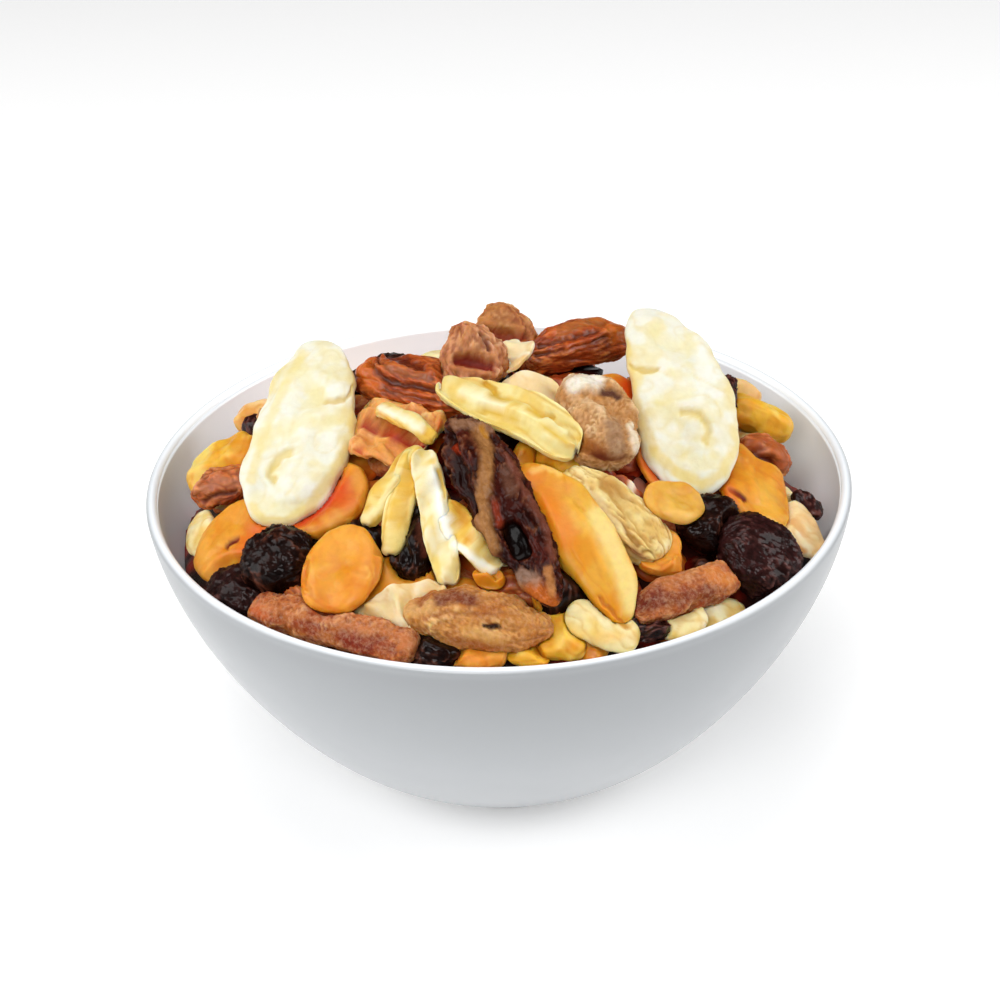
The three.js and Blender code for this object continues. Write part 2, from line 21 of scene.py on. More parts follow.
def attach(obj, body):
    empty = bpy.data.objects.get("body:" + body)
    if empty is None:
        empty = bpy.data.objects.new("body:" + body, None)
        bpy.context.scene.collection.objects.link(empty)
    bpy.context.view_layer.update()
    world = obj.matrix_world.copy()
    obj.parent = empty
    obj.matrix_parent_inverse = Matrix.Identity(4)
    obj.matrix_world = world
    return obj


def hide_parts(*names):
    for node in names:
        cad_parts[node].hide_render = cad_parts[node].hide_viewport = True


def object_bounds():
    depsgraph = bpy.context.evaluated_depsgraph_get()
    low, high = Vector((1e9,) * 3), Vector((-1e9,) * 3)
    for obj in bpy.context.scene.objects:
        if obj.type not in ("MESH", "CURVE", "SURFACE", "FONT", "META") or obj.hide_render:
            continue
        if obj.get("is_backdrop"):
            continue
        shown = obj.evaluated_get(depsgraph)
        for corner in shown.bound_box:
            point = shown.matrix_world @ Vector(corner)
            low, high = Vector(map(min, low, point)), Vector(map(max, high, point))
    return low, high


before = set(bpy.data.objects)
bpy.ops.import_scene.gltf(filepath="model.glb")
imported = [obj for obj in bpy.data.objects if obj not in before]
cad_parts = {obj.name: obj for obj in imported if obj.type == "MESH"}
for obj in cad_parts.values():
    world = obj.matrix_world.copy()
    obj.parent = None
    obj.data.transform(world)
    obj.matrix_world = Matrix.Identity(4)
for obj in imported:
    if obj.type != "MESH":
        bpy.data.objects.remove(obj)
cad_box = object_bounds()
MM = 0.001
print("nodes in the frame:", len(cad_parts), "whole box:", cad_box)

# %% [markdown]
# ## The camera
#
# The photograph looks down into the bowl. The rim is a circle, and in the picture it is an
# ellipse whose height over width gives the angle of view. How much smaller the far side is
# gives the distance. That leaves a long lens, three quarters of a metre away, held a little
# askew. The rim's middle doesn't fall on the picture's middle, so the lens is shifted by a
# few hundredths.

# %% The camera
RIM_RADIUS = 110
BOWL_HEIGHT = 99.5
CAMERA_AWAY = 750
LOOK_DOWN = math.radians(29.92)
ASKEW = math.radians(-1.73)
PICTURE = 1000
FOCAL_PIXELS = 2391.1
RIM_MIDDLE_PIXEL = (498.2, 471.4)

lens = bpy.data.cameras.new("lens")
lens.sensor_width = 36
lens.lens = FOCAL_PIXELS / PICTURE * lens.sensor_width
lens.shift_x = (PICTURE / 2 - RIM_MIDDLE_PIXEL[0]) / PICTURE
lens.shift_y = (RIM_MIDDLE_PIXEL[1] - PICTURE / 2) / PICTURE
lens.clip_start = 0.05
camera = bpy.data.objects.new("camera", lens)
bpy.context.scene.collection.objects.link(camera)
backwards = Vector((0, -math.cos(LOOK_DOWN), math.sin(LOOK_DOWN)))
upwards = Vector((0, math.sin(LOOK_DOWN), math.cos(LOOK_DOWN)))
turned = Matrix((Vector((1, 0, 0)), upwards, backwards)).transposed().to_4x4()
rim_middle = Vector((0, 0, BOWL_HEIGHT * MM))
place = Matrix.Translation(rim_middle + backwards * CAMERA_AWAY * MM)
seen_from = place @ turned @ Matrix.Rotation(ASKEW, 4, "Z")
camera.matrix_world = seen_from
bpy.context.scene.camera = camera
print("lens", round(lens.lens, 1), "mm, shift", round(lens.shift_x, 4), round(lens.shift_y, 4))

# %% [markdown]
# The same camera also says where a point of the fruit falls in the photograph. Later, creases
# and patches that were read off the photograph find their place on a piece this way.

# %% From the table to the picture
PIXELS_PER_MM = FOCAL_PIXELS / CAMERA_AWAY
to_camera = np.array(seen_from.inverted())


def in_picture(points):
    """Where points in millimetres fall in the photograph, in pixels from its upper left corner."""
    seen = points * MM @ to_camera[:3, :3].T + to_camera[:3, 3]
    across, rising, depth = seen.T
    return np.array(RIM_MIDDLE_PIXEL) + FOCAL_PIXELS * np.stack([across, -rising], 1) / -depth[:, None]


print("the rim's front falls on", in_picture(np.array([[0, -RIM_RADIUS, BOWL_HEIGHT]])).round(1))

# %% [markdown]
# ## The floor and the light
#
# A studio table is white, and the light is large and soft. One lamp hangs over the bowl, so the
# tops of the fruit are bright and the bowl's outside, which faces down, falls off to grey, deepened
# by painted shade on its rings. One stands at each side, the right one stronger, and makes the
# flanks of the bowl and of the fruit bright. A fourth, at the left front, opens the shadows. One
# small lamp would do with less, but it would give hard shadows and a spark on every wrinkle. The
# sky is a dim white that brightens overhead, and the floor glows a little, so it stays white and
# lights the bowl from below.

# %% The floor and the light
def material(name):
    """A new material, its node tree and its one shader."""
    made = bpy.data.materials.new(name)
    made.use_nodes = True
    made.node_tree.nodes.clear()
    out = made.node_tree.nodes.new("ShaderNodeOutputMaterial")
    shader = made.node_tree.nodes.new("ShaderNodeBsdfPrincipled")
    made.node_tree.links.new(shader.outputs["BSDF"], out.inputs["Surface"])
    return made, made.node_tree, shader


HEAP_MIDDLE = Vector((0, 0, 0.1))
LAMPS = {
    "over": ((-0.08, 0.1, 1.3), (0.9, 0.9), 8.5),
    "front": ((-0.25, -1.05, 0.95), (0.8, 0.6), 11),
    "left": ((-1.3, -0.05, 0.7), (1.0, 0.9), 11),
    "right": ((1.3, -0.05, 0.7), (1.0, 0.9), 13),
}


def softbox(name, at, size, watts):
    """A large lamp at a place in metres, turned to the heap."""
    lamp = bpy.data.lights.new(name, "AREA")
    lamp.shape = "RECTANGLE"
    lamp.size, lamp.size_y = size
    lamp.energy = watts
    box = bpy.data.objects.new(name, lamp)
    bpy.context.scene.collection.objects.link(box)
    box.location = at
    box.rotation_euler = (HEAP_MIDDLE - Vector(at)).to_track_quat("-Z", "Y").to_euler()


FLOOR_HALF = 6.0
PAPER_WHITE = (0.8, 0.8, 0.8, 1)
PAPER_GLOW = 0.3
floor_mesh = bpy.data.meshes.new("floor")
corners = [(x * FLOOR_HALF, y * FLOOR_HALF, 0) for x, y in ((-1, -1), (1, -1), (1, 1), (-1, 1))]
floor_mesh.from_pydata(corners, [], [(0, 1, 2, 3)])
floor = bpy.data.objects.new("floor", floor_mesh)
bpy.context.scene.collection.objects.link(floor)
paper, _, paper_shader = material("white_paper")
paper_shader.inputs["Base Color"].default_value = PAPER_WHITE
paper_shader.inputs["Emission Color"].default_value = (1, 1, 1, 1)
paper_shader.inputs["Emission Strength"].default_value = PAPER_GLOW
paper_shader.inputs["Roughness"].default_value = 0.9
paper_shader.inputs["Specular IOR Level"].default_value = 0.1
floor_mesh.materials.append(paper)
floor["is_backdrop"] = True

for name, (at, size, watts) in LAMPS.items():
    softbox(name, at, size, watts)

SKY_LOW = (0.1, 0.28)
SKY_HIGH = (0.8, 0.68)
sky = bpy.data.worlds.new("sky")
sky.use_nodes = True
towards = sky.node_tree.nodes.new("ShaderNodeTexCoord")
split = sky.node_tree.nodes.new("ShaderNodeSeparateXYZ")
climb = sky.node_tree.nodes.new("ShaderNodeMapRange")
climb.inputs["From Min"].default_value, climb.inputs["To Min"].default_value = SKY_LOW
climb.inputs["From Max"].default_value, climb.inputs["To Max"].default_value = SKY_HIGH
sky.node_tree.links.new(towards.outputs["Generated"], split.inputs["Vector"])
sky.node_tree.links.new(split.outputs["Z"], climb.inputs["Value"])
sky.node_tree.links.new(climb.outputs["Result"], sky.node_tree.nodes["Background"].inputs["Strength"])
bpy.context.scene.world = sky
bpy.context.scene.view_settings.view_transform = "Standard"

# %% [markdown]
# ## The bowl
#
# A thrown bowl is turned, so one profile makes it: the foot ring, the outside swinging out and
# up in one curve, the rolled lip, and the inside following at the wall's thickness. A ball cut
# open and pushed into shape would do too, but a profile is how a potter checks a bowl, and each
# of its rings can be painted. The curve is a cubic with a direction at each end, the same one
# that the construction model uses with few steps. Here it gets many, so the glaze shows no
# facets.

# %% The bowl's profile
LIP_RADIUS = 1.75
FOOT_RADIUS = 43
FOOT_HEIGHT = 4
FOOT_RING = 6.5
FOOT_RECESS = 1.5
FLOOR_TOP = 8.5
WALL_AT_FOOT = 5.5
WALL_AT_LIP = 2 * LIP_RADIUS
FLARE = (math.radians(18.9), 25.8)
UPRIGHT = (math.radians(82.7), 38.7)
WALL_STEPS = 72
LIP_HEIGHT = BOWL_HEIGHT - LIP_RADIUS


def outer_wall():
    """Radius and height of the outside from the foot to the lip, and its direction there."""
    start = np.array([FOOT_RADIUS + 0.5, FOOT_HEIGHT])
    end = np.array([RIM_RADIUS, LIP_HEIGHT])
    leave = start + FLARE[1] * np.array([math.cos(FLARE[0]), math.sin(FLARE[0])])
    arrive = end - UPRIGHT[1] * np.array([math.cos(UPRIGHT[0]), math.sin(UPRIGHT[0])])
    t = np.linspace(0, 1, WALL_STEPS + 1)[:, None]
    s = 1 - t
    points = s**3 * start + 3 * s**2 * t * leave + 3 * s * t**2 * arrive + t**3 * end
    along = s**2 * (leave - start) + 2 * s * t * (arrive - leave) + t**2 * (end - arrive)
    return points, along / np.linalg.norm(along, axis=1, keepdims=True), t


outside, slope, share = outer_wall()
wall = WALL_AT_FOOT + (WALL_AT_LIP - WALL_AT_FOOT) * share
inside = outside + wall * np.stack([-slope[:, 1], slope[:, 0]], 1)
print("inside from", inside[0].round(1), "to", inside[-1].round(1))


def wall_radius(z):
    """Where the inner wall is at a height, for arrays of heights."""
    return np.interp(z, inside[:, 1], inside[:, 0])


# %% [markdown]
# Turning is one loop: each point of the profile goes round in a ring, and neighbouring rings
# are joined by four-sided faces. Points on the axis close the ends. The same helper later makes
# the core of the heap.

# %% Turning a profile
def add_piece(name, points, faces, made, colours):
    """A smooth mesh from points in millimetres, with its material and painted colours."""
    mesh = bpy.data.meshes.new(name)
    mesh.vertices.add(len(points))
    mesh.vertices.foreach_set("co", (np.asarray(points) * MM).astype(np.float32).ravel())
    sizes = np.array([len(face) for face in faces])
    mesh.loops.add(int(sizes.sum()))
    mesh.loops.foreach_set("vertex_index", np.concatenate(faces).astype(np.int32))
    mesh.polygons.add(len(faces))
    mesh.polygons.foreach_set("loop_start", np.r_[0, np.cumsum(sizes)[:-1]].astype(np.int32))
    mesh.polygons.foreach_set("use_smooth", np.ones(len(faces), bool))
    mesh.materials.append(made)
    painted = mesh.color_attributes.new("skin", "FLOAT_COLOR", "POINT")
    rgba = np.c_[colours, np.ones(len(colours))].astype(np.float32)
    painted.data.foreach_set("color", rgba.ravel())
    mesh.update(calc_edges=True)
    mesh.validate()
    piece = bpy.data.objects.new(name, mesh)
    bpy.context.scene.collection.objects.link(piece)
    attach(piece, "root")
    return piece


def tube_faces(rings, around, first=0):
    """Faces of rings of points closed by one point before the first and one after the last."""
    start, end = first + rings * around, first + rings * around + 1
    step = np.arange(around)
    after = (step + 1) % around
    faces = []
    for ring in range(rings - 1):
        low, high = first + ring * around, first + (ring + 1) * around
        faces.extend(np.stack([low + step, high + step, high + after, low + after], 1))
    last = first + (rings - 1) * around
    faces.extend(np.stack([np.full(around, start), first + step, first + after], 1))
    faces.extend(np.stack([np.full(around, end), last + after, last + step], 1))
    return faces


BOWL_SIDES = 256
LIP_STEPS = 16
FOOT_STEPS = 6
FOOT_ROUND = 0.8
lip_turn = np.radians(np.linspace(0, 180, LIP_STEPS + 1))[1:-1]
lip = np.stack([RIM_RADIUS - LIP_RADIUS + LIP_RADIUS * np.cos(lip_turn),
                LIP_HEIGHT + LIP_RADIUS * np.sin(lip_turn)], 1)
foot_turn = np.radians(np.linspace(-90, 0, FOOT_STEPS + 1))
foot_corner = np.stack([FOOT_RADIUS - FOOT_ROUND + FOOT_ROUND * np.cos(foot_turn),
                        FOOT_ROUND + FOOT_ROUND * np.sin(foot_turn)], 1)
ring_inside = FOOT_RADIUS - FOOT_RING
recess = [[ring_inside * 0.5, FOOT_RECESS], [ring_inside - 0.4, FOOT_RECESS],
          [ring_inside, FOOT_RECESS - 0.3], [ring_inside + 0.5, 0.1], [ring_inside + FOOT_ROUND, 0]]
foot_neck = [[FOOT_RADIUS, FOOT_HEIGHT - 0.6], [FOOT_RADIUS + 0.15, FOOT_HEIGHT - 0.15]]
bottom = [[inside[0][0] - 8, FLOOR_TOP + 0.6], [inside[0][0] * 0.6, FLOOR_TOP]]
profile = np.concatenate([recess, foot_corner, foot_neck, outside, lip, inside[::-1], bottom])
AROUND_BOWL = np.linspace(0, 2 * math.pi, BOWL_SIDES, endpoint=False)


def turned_points(radii, heights):
    """The rings of points that a profile's points make when they go round."""
    x = radii[:, None] * np.cos(AROUND_BOWL)
    y = radii[:, None] * np.sin(AROUND_BOWL)
    z = np.repeat(heights[:, None], BOWL_SIDES, 1)
    return np.stack([x, y, z], 2).reshape(-1, 3)


bowl_middles = [[0, 0, FOOT_RECESS], [0, 0, FLOOR_TOP]]
bowl_points = np.r_[turned_points(profile[:, 0], profile[:, 1]), bowl_middles]
print("bowl rings:", len(profile), "points:", len(bowl_points))

# %% [markdown]
# ## Glaze
#
# Glazed stoneware is a white body under a thin clear glass. The body scatters light, the glass
# on top reflects a soft, broad highlight. Every ring of the outside is painted with a tone looked
# up by its height, and these tones are painted light and shade: greyer below the lip, where its
# roll shades the wall, lighter on the belly, which the white floor lights, brightest on the lip's
# top as a painted highlight, and darker on the foot ring, which is bare and also painted with
# the shadow where it meets the table. The inside is painted with one near-white tone of its own.
# A roughness that drifts keeps it from looking like plastic.

# %% The glaze
def noise_node(tree, spacing_mm, detail=2.0, roughness=0.5):
    """Noise in the object's own coordinates, whose features are about that far apart."""
    where = tree.nodes.new("ShaderNodeTexCoord")
    noise = tree.nodes.new("ShaderNodeTexNoise")
    noise.inputs["Scale"].default_value = 1 / (spacing_mm * MM)
    noise.inputs["Detail"].default_value = detail
    noise.inputs["Roughness"].default_value = roughness
    tree.links.new(where.outputs["Object"], noise.inputs["Vector"])
    return noise


def spread(tree, source, low, high):
    """Maps a noise's middle range to low and high."""
    span = tree.nodes.new("ShaderNodeMapRange")
    span.inputs["From Min"].default_value = 0.3
    span.inputs["From Max"].default_value = 0.7
    span.inputs["To Min"].default_value = low
    span.inputs["To Max"].default_value = high
    tree.links.new(source, span.inputs["Value"])
    return span.outputs["Result"]


def bump(tree, shader, height, depth_mm):
    """Lets a height that is too fine for the mesh tilt the shading."""
    node = tree.nodes.new("ShaderNodeBump")
    node.inputs["Distance"].default_value = depth_mm * MM
    node.inputs["Strength"].default_value = 1.0
    tree.links.new(height, node.inputs["Height"])
    tree.links.new(node.outputs["Normal"], shader.inputs["Normal"])


# The outside's tones by height are painted light and shade; the inside's tone is the glaze's own.
GLAZE_INSIDE = 0.98
GLAZE_HEIGHTS = (0, 3.5, 9, 24, 50, 96, LIP_HEIGHT + 0.6 * LIP_RADIUS, LIP_HEIGHT + LIP_RADIUS)
GLAZE_SHADING_TONES = (0.26, 0.26, 0.32, 0.45, 0.43, 0.32, 0.38, 0.9)
GLAZE_TINT = np.array([0.95, 0.99, 1.03])
GLAZE_ROUGH = (0.32, 0.4)
GLAZE_DRIFT = 24
lip_row = int(np.argmax(profile[:, 1]))
painted_shading_by_height = np.interp(profile[:, 1], GLAZE_HEIGHTS, GLAZE_SHADING_TONES)
ring_tone = np.where(np.arange(len(profile)) >= lip_row, GLAZE_INSIDE, painted_shading_by_height)
bowl_tone = np.r_[np.repeat(ring_tone, BOWL_SIDES), [GLAZE_SHADING_TONES[0], GLAZE_INSIDE]]
bowl_paint = bowl_tone[:, None] * GLAZE_TINT


def glaze():
    """White glaze whose tone is the paint of its rings, painted light and shade on the outside."""
    made, tree, shader = material("white_glaze")
    shader.inputs["Coat Weight"].default_value = 0.3
    shader.inputs["Coat Roughness"].default_value = 0.14
    shader.inputs["IOR"].default_value = 1.5
    drift = noise_node(tree, GLAZE_DRIFT)
    tree.links.new(spread(tree, drift.outputs["Fac"], *GLAZE_ROUGH), shader.inputs["Roughness"])
    body = tree.nodes.new("ShaderNodeAttribute")
    body.attribute_name = "skin"
    tree.links.new(body.outputs["Color"], shader.inputs["Base Color"])
    return made


bowl_faces = tube_faces(len(profile), BOWL_SIDES)
bowl = add_piece("glazed_bowl", bowl_points, bowl_faces, glaze(), bowl_paint)
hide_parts("bowl")
print("bowl faces:", len(bowl.data.polygons))

# %% [markdown]
# ## Where the fruit lies
#
# The heap is a hill: it falls off evenly to the front, faster to the sides, and like a slope of
# loose pieces to the back. Every piece is laid from one end to the other with its upper side
# away from the hill, so two points, a width, a thickness and a roll say everything about its
# place. These are the construction model's own functions, for arrays.

# %% The hill
PEAK_RISE = 37
PEAK_Y = 8
SIDE_FALL = 0.0047
FRONT_FALL = 0.0031
BACK_SLOPE = 0.62
CREST_ROUND = 8
CORE_DEPTH = 9
CORE_BUMP = 1
TOUCH_ROOM = 0.35
BEDDING = 1.3


def heap_height(x, y):
    """How high the heap's skin is over the table."""
    away = y - PEAK_Y
    behind = BACK_SLOPE * (np.hypot(away, CREST_ROUND) - CREST_ROUND)
    fall = np.where(away < 0, FRONT_FALL * away**2, behind)
    return BOWL_HEIGHT + PEAK_RISE - SIDE_FALL * x**2 - fall


def core_height(x, y):
    """How high the uneven core below the open fruit is."""
    radius, at = np.hypot(x, y), np.arctan2(y, x)
    swell = CORE_BUMP * np.sin(3 * at + radius / 9) * np.cos(2 * at - radius / 13)
    return heap_height(x, y) - CORE_DEPTH + swell


def heap_normal(x, y):
    """The direction straight out of the hill."""
    away = y - PEAK_Y
    slope = 2 * FRONT_FALL * away if away < 0 else BACK_SLOPE * away / math.hypot(away, CREST_ROUND)
    normal = np.array([2 * SIDE_FALL * x, slope, 1.0])
    return normal / np.linalg.norm(normal)


def lie(start, end, roll):
    """The middle, the length, and the three directions of a piece: along, across and up."""
    start, end = np.array(start, float), np.array(end, float)
    along = end - start
    length = np.linalg.norm(along)
    along /= length
    middle = (start + end) / 2
    up = heap_normal(middle[0], middle[1])
    up -= up.dot(along) * along
    up /= np.linalg.norm(up)
    across = np.cross(up, along)
    turn = math.radians(roll)
    across, up = (math.cos(turn) * across + math.sin(turn) * up,
                  math.cos(turn) * up - math.sin(turn) * across)
    return middle, length, np.array([along, across, up])


print("hill at its crest:", round(float(heap_height(0, PEAK_Y)), 1), "mm above the table")

# %% [markdown]
# ## Form before wrinkles
#
# A dried fruit is a ball drawn out lengthwise. Two powers say how blunt its ends and its section
# are, then come a few deep folds, dents, a bend and soft swellings. A thin slice is the same
# closed skin drawn flat, with a waved and pleated middle sheet. Each piece could be sculpted by
# hand, but there are so many that a formula is quicker, and its values can be read. Both forms
# take how far along and how far round a point is, and give its place in the piece's own axes.

# %% Form
def power(value, p):
    """A power that keeps the sign."""
    return np.sign(value) * np.abs(value) ** p


def swelling(x, y, z, spacing, seed):
    """Three slow waves across one another, from -1 to 1."""
    total = 0
    for k in range(3):
        at = seed + 2.1 * k
        across = x * math.cos(at) + y * math.sin(at) + z * math.sin(1.7 * at)
        total = total + np.sin(2 * math.pi * across / spacing + seed * (k + 1))
    return total / 3


SHEET_EDGE = 5


def sheet_middle(form, u, v):
    """The middle sheet of a thin slice: its outline's share of the width, and its height."""
    outline = form["tip"] + (1 - form["tip"]) * (1 - np.abs(u) ** form["blunt"]) ** (1 / form["blunt"])
    wave_height, waves, wave_skew = form.get("wave", (0, 0, 0))
    pleat_height, pleats, pleat_skew = form.get("pleat", (0, 0, 0))
    z = wave_height * np.sin(math.pi * waves * u + wave_skew * v)
    z = z + pleat_height * np.cos(math.pi * pleats * v + pleat_skew * u)
    return outline, z + form.get("cup", 0) * v**2 - form.get("bow", 0) * u**2


def thin_form(form, length, width, thick, u, angle):
    """A slice: a flat tube round its middle sheet, shut at both ends."""
    shut = (1 - np.abs(u) ** 14) ** (1 / 4)
    v = power(np.cos(angle), 2 / SHEET_EDGE)
    w = power(np.sin(angle), 2 / SHEET_EDGE)
    outline, z = sheet_middle(form, u, v)
    y = width / 2 * v * outline * (0.4 + 0.6 * shut)
    return length / 2 * u, y, z + thick / 2 * w * shut, v


def fleshy_form(form, length, width, thick, u, angle, seed):
    """A whole fruit or a thick piece: a blunt ball with folds, lumps, dents and a bend."""
    cosine, sine = np.cos(angle), np.sin(angle)
    reach = np.maximum(1 - np.abs(u) ** form["ends"], 0) ** (1 / form["ends"])
    v = reach * power(cosine, 2 / form["sides"])
    w = reach * power(sine, 2 / form["sides"])
    folds, fold_depth, fold_twist = form.get("folds", (0, 0, 0))
    lump_height, lump_spacing = form.get("lumps", (0, 1))
    crease = 1 + fold_depth * np.cos(folds * angle + fold_twist * u * 2 + seed)
    narrow = 1 + form.get("taper", 0) * u
    x = length / 2 * u
    y = width / 2 * v * crease * narrow
    z = thick / 2 * w * crease * narrow
    lump = lump_height * reach * swelling(x, y, z, lump_spacing, seed)
    y = y + lump * cosine
    z = z + lump * sine
    for along_at, across_at, size, depth in form.get("dents", ()):
        off = ((u - along_at) / size) ** 2 + ((v - across_at) / size / 1.6) ** 2
        z = z - depth * np.exp(-off) * np.clip(sine * 1.5, 0, 1)
    z = z + form.get("cup", 0) * v**2 - form.get("bow", 0) * u**2
    return x, y + form.get("sway", 0) * u**2, z, v


FEWEST, MOST = 16, 200
RINGS_PER_LENGTH = 1.25
POINTS_PER_GIRTH = 2.3


def skin_grid(length, width, thick, spacing):
    """How far along and how far round the rings of points are, about a spacing apart."""
    rings = int(np.clip(RINGS_PER_LENGTH * length / spacing, FEWEST, MOST))
    around = int(np.clip(POINTS_PER_GIRTH * (width + thick) / spacing, FEWEST, MOST))
    u = -np.cos(np.linspace(0, math.pi, rings + 2)[1:-1])
    angle = np.linspace(0, 2 * math.pi, around, endpoint=False)
    return u, angle


# %% [markdown]
# ## Noise for wrinkles
#
# Wrinkles aren't random bumps: they are lines where the skin has folded in. A smooth noise
# crosses zero along winding lines, so its absolute value has narrow valleys there and rounded
# backs between, just like shrunken skin. Stretched along the fruit it gives the long grooves of
# a date, unstretched the net of a prune. Blender can do this per point, but a piece has
# thousands of points, so the noise is written for whole arrays.

# %% Noise
GRADIENTS = np.array([(1, 1, 0), (-1, 1, 0), (1, -1, 0), (-1, -1, 0), (1, 0, 1), (-1, 0, 1),
                      (1, 0, -1), (-1, 0, -1), (0, 1, 1), (0, -1, 1), (0, 1, -1), (0, -1, -1)], float)


def noise(p, seed=0):
    """Smooth noise from about -1 to 1 at points p, whose features are about 1 apart."""
    cell = np.floor(p).astype(np.int64)
    f = p - cell
    fade = f**3 * (f * (f * 6 - 15) + 10)
    total = np.zeros(len(p))
    for corner in np.ndindex(2, 2, 2):
        at = cell + corner
        h = at[:, 0] * 374761393 + at[:, 1] * 668265263 + at[:, 2] * 974634777 + seed * 144665
        h = h & 0xFFFFFFFF
        h = ((h ^ (h >> 13)) * 1274126177) & 0xFFFFFFFF
        slope = GRADIENTS[((h ^ (h >> 16)) & 0xFFFF) % 12]
        share = np.prod(np.where(np.array(corner) == 1, fade, 1 - fade), axis=1)
        total += share * np.einsum("ij,ij->i", slope, f - corner)
    return total * 1.4


def smooth(value, low, high):
    """Rises softly from 0 at low to 1 at high."""
    t = np.clip((value - low) / (high - low), 0, 1)
    return t * t * (3 - 2 * t)


RIDGE_WIDTH = 0.34
GROOVE_WIDTH = 0.24


def relief(points, kinds, seed):
    """How far the skin stands out at points, in mm, and how deep it lies in a fold, from 0 to 1."""
    height = np.zeros(len(points))
    depth = np.zeros(len(points))
    for k, (kind, size, spacing, stretch) in enumerate(kinds):
        scale = np.array([1 / (spacing * stretch), 1 / spacing, 1 / spacing])
        value = noise(points * scale + seed * 3.7 + k * 11.3, k)
        if kind == "soft":
            height += size * value
        if kind == "billow":
            back = np.sqrt(np.abs(value) + 0.01)
            height += size * (back - 0.5)
            depth = np.maximum(depth, size / (size + 0.4) * np.clip(1 - back * 2.2, 0, 1))
        if kind == "ridge":
            crest = np.clip(1 - np.abs(value) / RIDGE_WIDTH, 0, 1) ** 1.4
            height += size * (crest - 0.35)
            depth = np.maximum(depth, 0.6 * smooth(np.abs(value), 0.3, 0.6))
        if kind == "groove":
            valley = np.clip(1 - np.abs(value) / GROOVE_WIDTH, 0, 1) ** 1.5
            height -= size * (valley - 0.25)
            depth = np.maximum(depth, np.clip(size / 0.8, 0.3, 1) * valley)
    return height, depth


sample = noise(np.random.default_rng(1).uniform(0, 50, (2000, 3)))
print("noise runs from", sample.min().round(2), "to", sample.max().round(2))

# %% [markdown]
# ## Fruit that gives way
#
# Dried fruit is soft. Where one piece lies on another, the lower one is pressed in. So the
# pieces are made from the top of the heap down, and each point of a lower piece that falls
# inside a piece above it is pressed out through that piece's underside. It is squeezed there,
# not cut flat, so that a thin slice keeps its two faces. The press reaches a few millimetres
# above the upper piece and fades out there, so what stands higher isn't torn. Just outside the
# upper piece's outline the lower one is eased down, and rises again over a few millimetres.
# Points beyond the bowl's wall are drawn back inside it. Soft bodies that fall on each other
# would do all of this too, but then no piece would stay at its place.

# %% Giving way
SQUEEZED = 1.5
EASE = 3
HELD = 0.9
TALL = (3, 8)
LID = 5


def press_shape(laid, u, across):
    """Where points lie in a piece's outline (1 is its edge), and its middle and half thickness there."""
    form = laid["form"]
    kept = np.clip(u, -0.98, 0.98)
    if form.get("sheet"):
        outline, _ = sheet_middle(form, kept, 0 * kept)
        ring = np.maximum(np.abs(u), np.abs(across) / outline)
        v = np.clip(across / outline, -1, 1)
        _, middle = sheet_middle(form, kept, v)
        return ring, middle, laid["thick"] / 2 * (1 - v**8)
    narrow = 1 + form.get("taper", 0) * kept
    v = across / narrow
    ends, sides = form["ends"], form["sides"]
    ring = (np.abs(u) ** ends + np.abs(v) ** ends) ** (1 / ends)
    reach = (1 - np.abs(kept) ** ends) ** (1 / ends)
    body = np.maximum(reach**sides - np.abs(v) ** sides, 0) ** (1 / sides)
    middle = form.get("cup", 0) * np.clip(v, -1, 1) ** 2 - form.get("bow", 0) * kept**2
    return ring, middle, laid["thick"] / 2 * narrow * body


def give_way(points, above):
    """Presses points out from under the pieces above, and eases them down beside their edges."""
    for laid in above:
        half_length, half_width = laid["length"] / 2, laid["width"] / 2
        along = (points - laid["middle"]) @ laid["axes"][0]
        close = np.flatnonzero(np.abs(along) < half_length + EASE)
        if not len(close):
            continue
        local = (points[close] - laid["middle"]) @ laid["axes"].T
        u = local[:, 0] / half_length
        across = (local[:, 1] - laid["form"].get("sway", 0) * np.clip(u, -1, 1) ** 2) / half_width
        ring, middle, body = press_shape(laid, u, across)
        z = local[:, 2]
        lowest = middle - body - TOUCH_ROOM - SQUEEZED
        highest = middle + body + LID
        squeezed = lowest + SQUEEZED * np.clip((z - lowest) / (highest - lowest), 0, 1)
        reached = (z > lowest) * (1 - smooth(z, highest, highest + EASE))
        excess = np.maximum(z - middle + TOUCH_ROOM, 0)
        hold = HELD * (1 - smooth((ring - 1) * half_width, 0, EASE)) * (1 - smooth(excess, *TALL))
        local[:, 2] = np.where(ring < 1, z + reached * (squeezed - z), z - hold * excess)
        points[close] = local @ laid["axes"] + laid["middle"]
    return points


def keep_in_bowl(points):
    """Draws points that are beyond the inner wall back to it."""
    radius = np.hypot(points[:, 0], points[:, 1])
    room = np.where(points[:, 2] < BOWL_HEIGHT, wall_radius(points[:, 2]), RIM_RADIUS - WALL_AT_LIP)
    pull = np.minimum(1, (room - TOUCH_ROOM) / np.maximum(radius, 1))
    points[:, :2] *= pull[:, None]
    return points
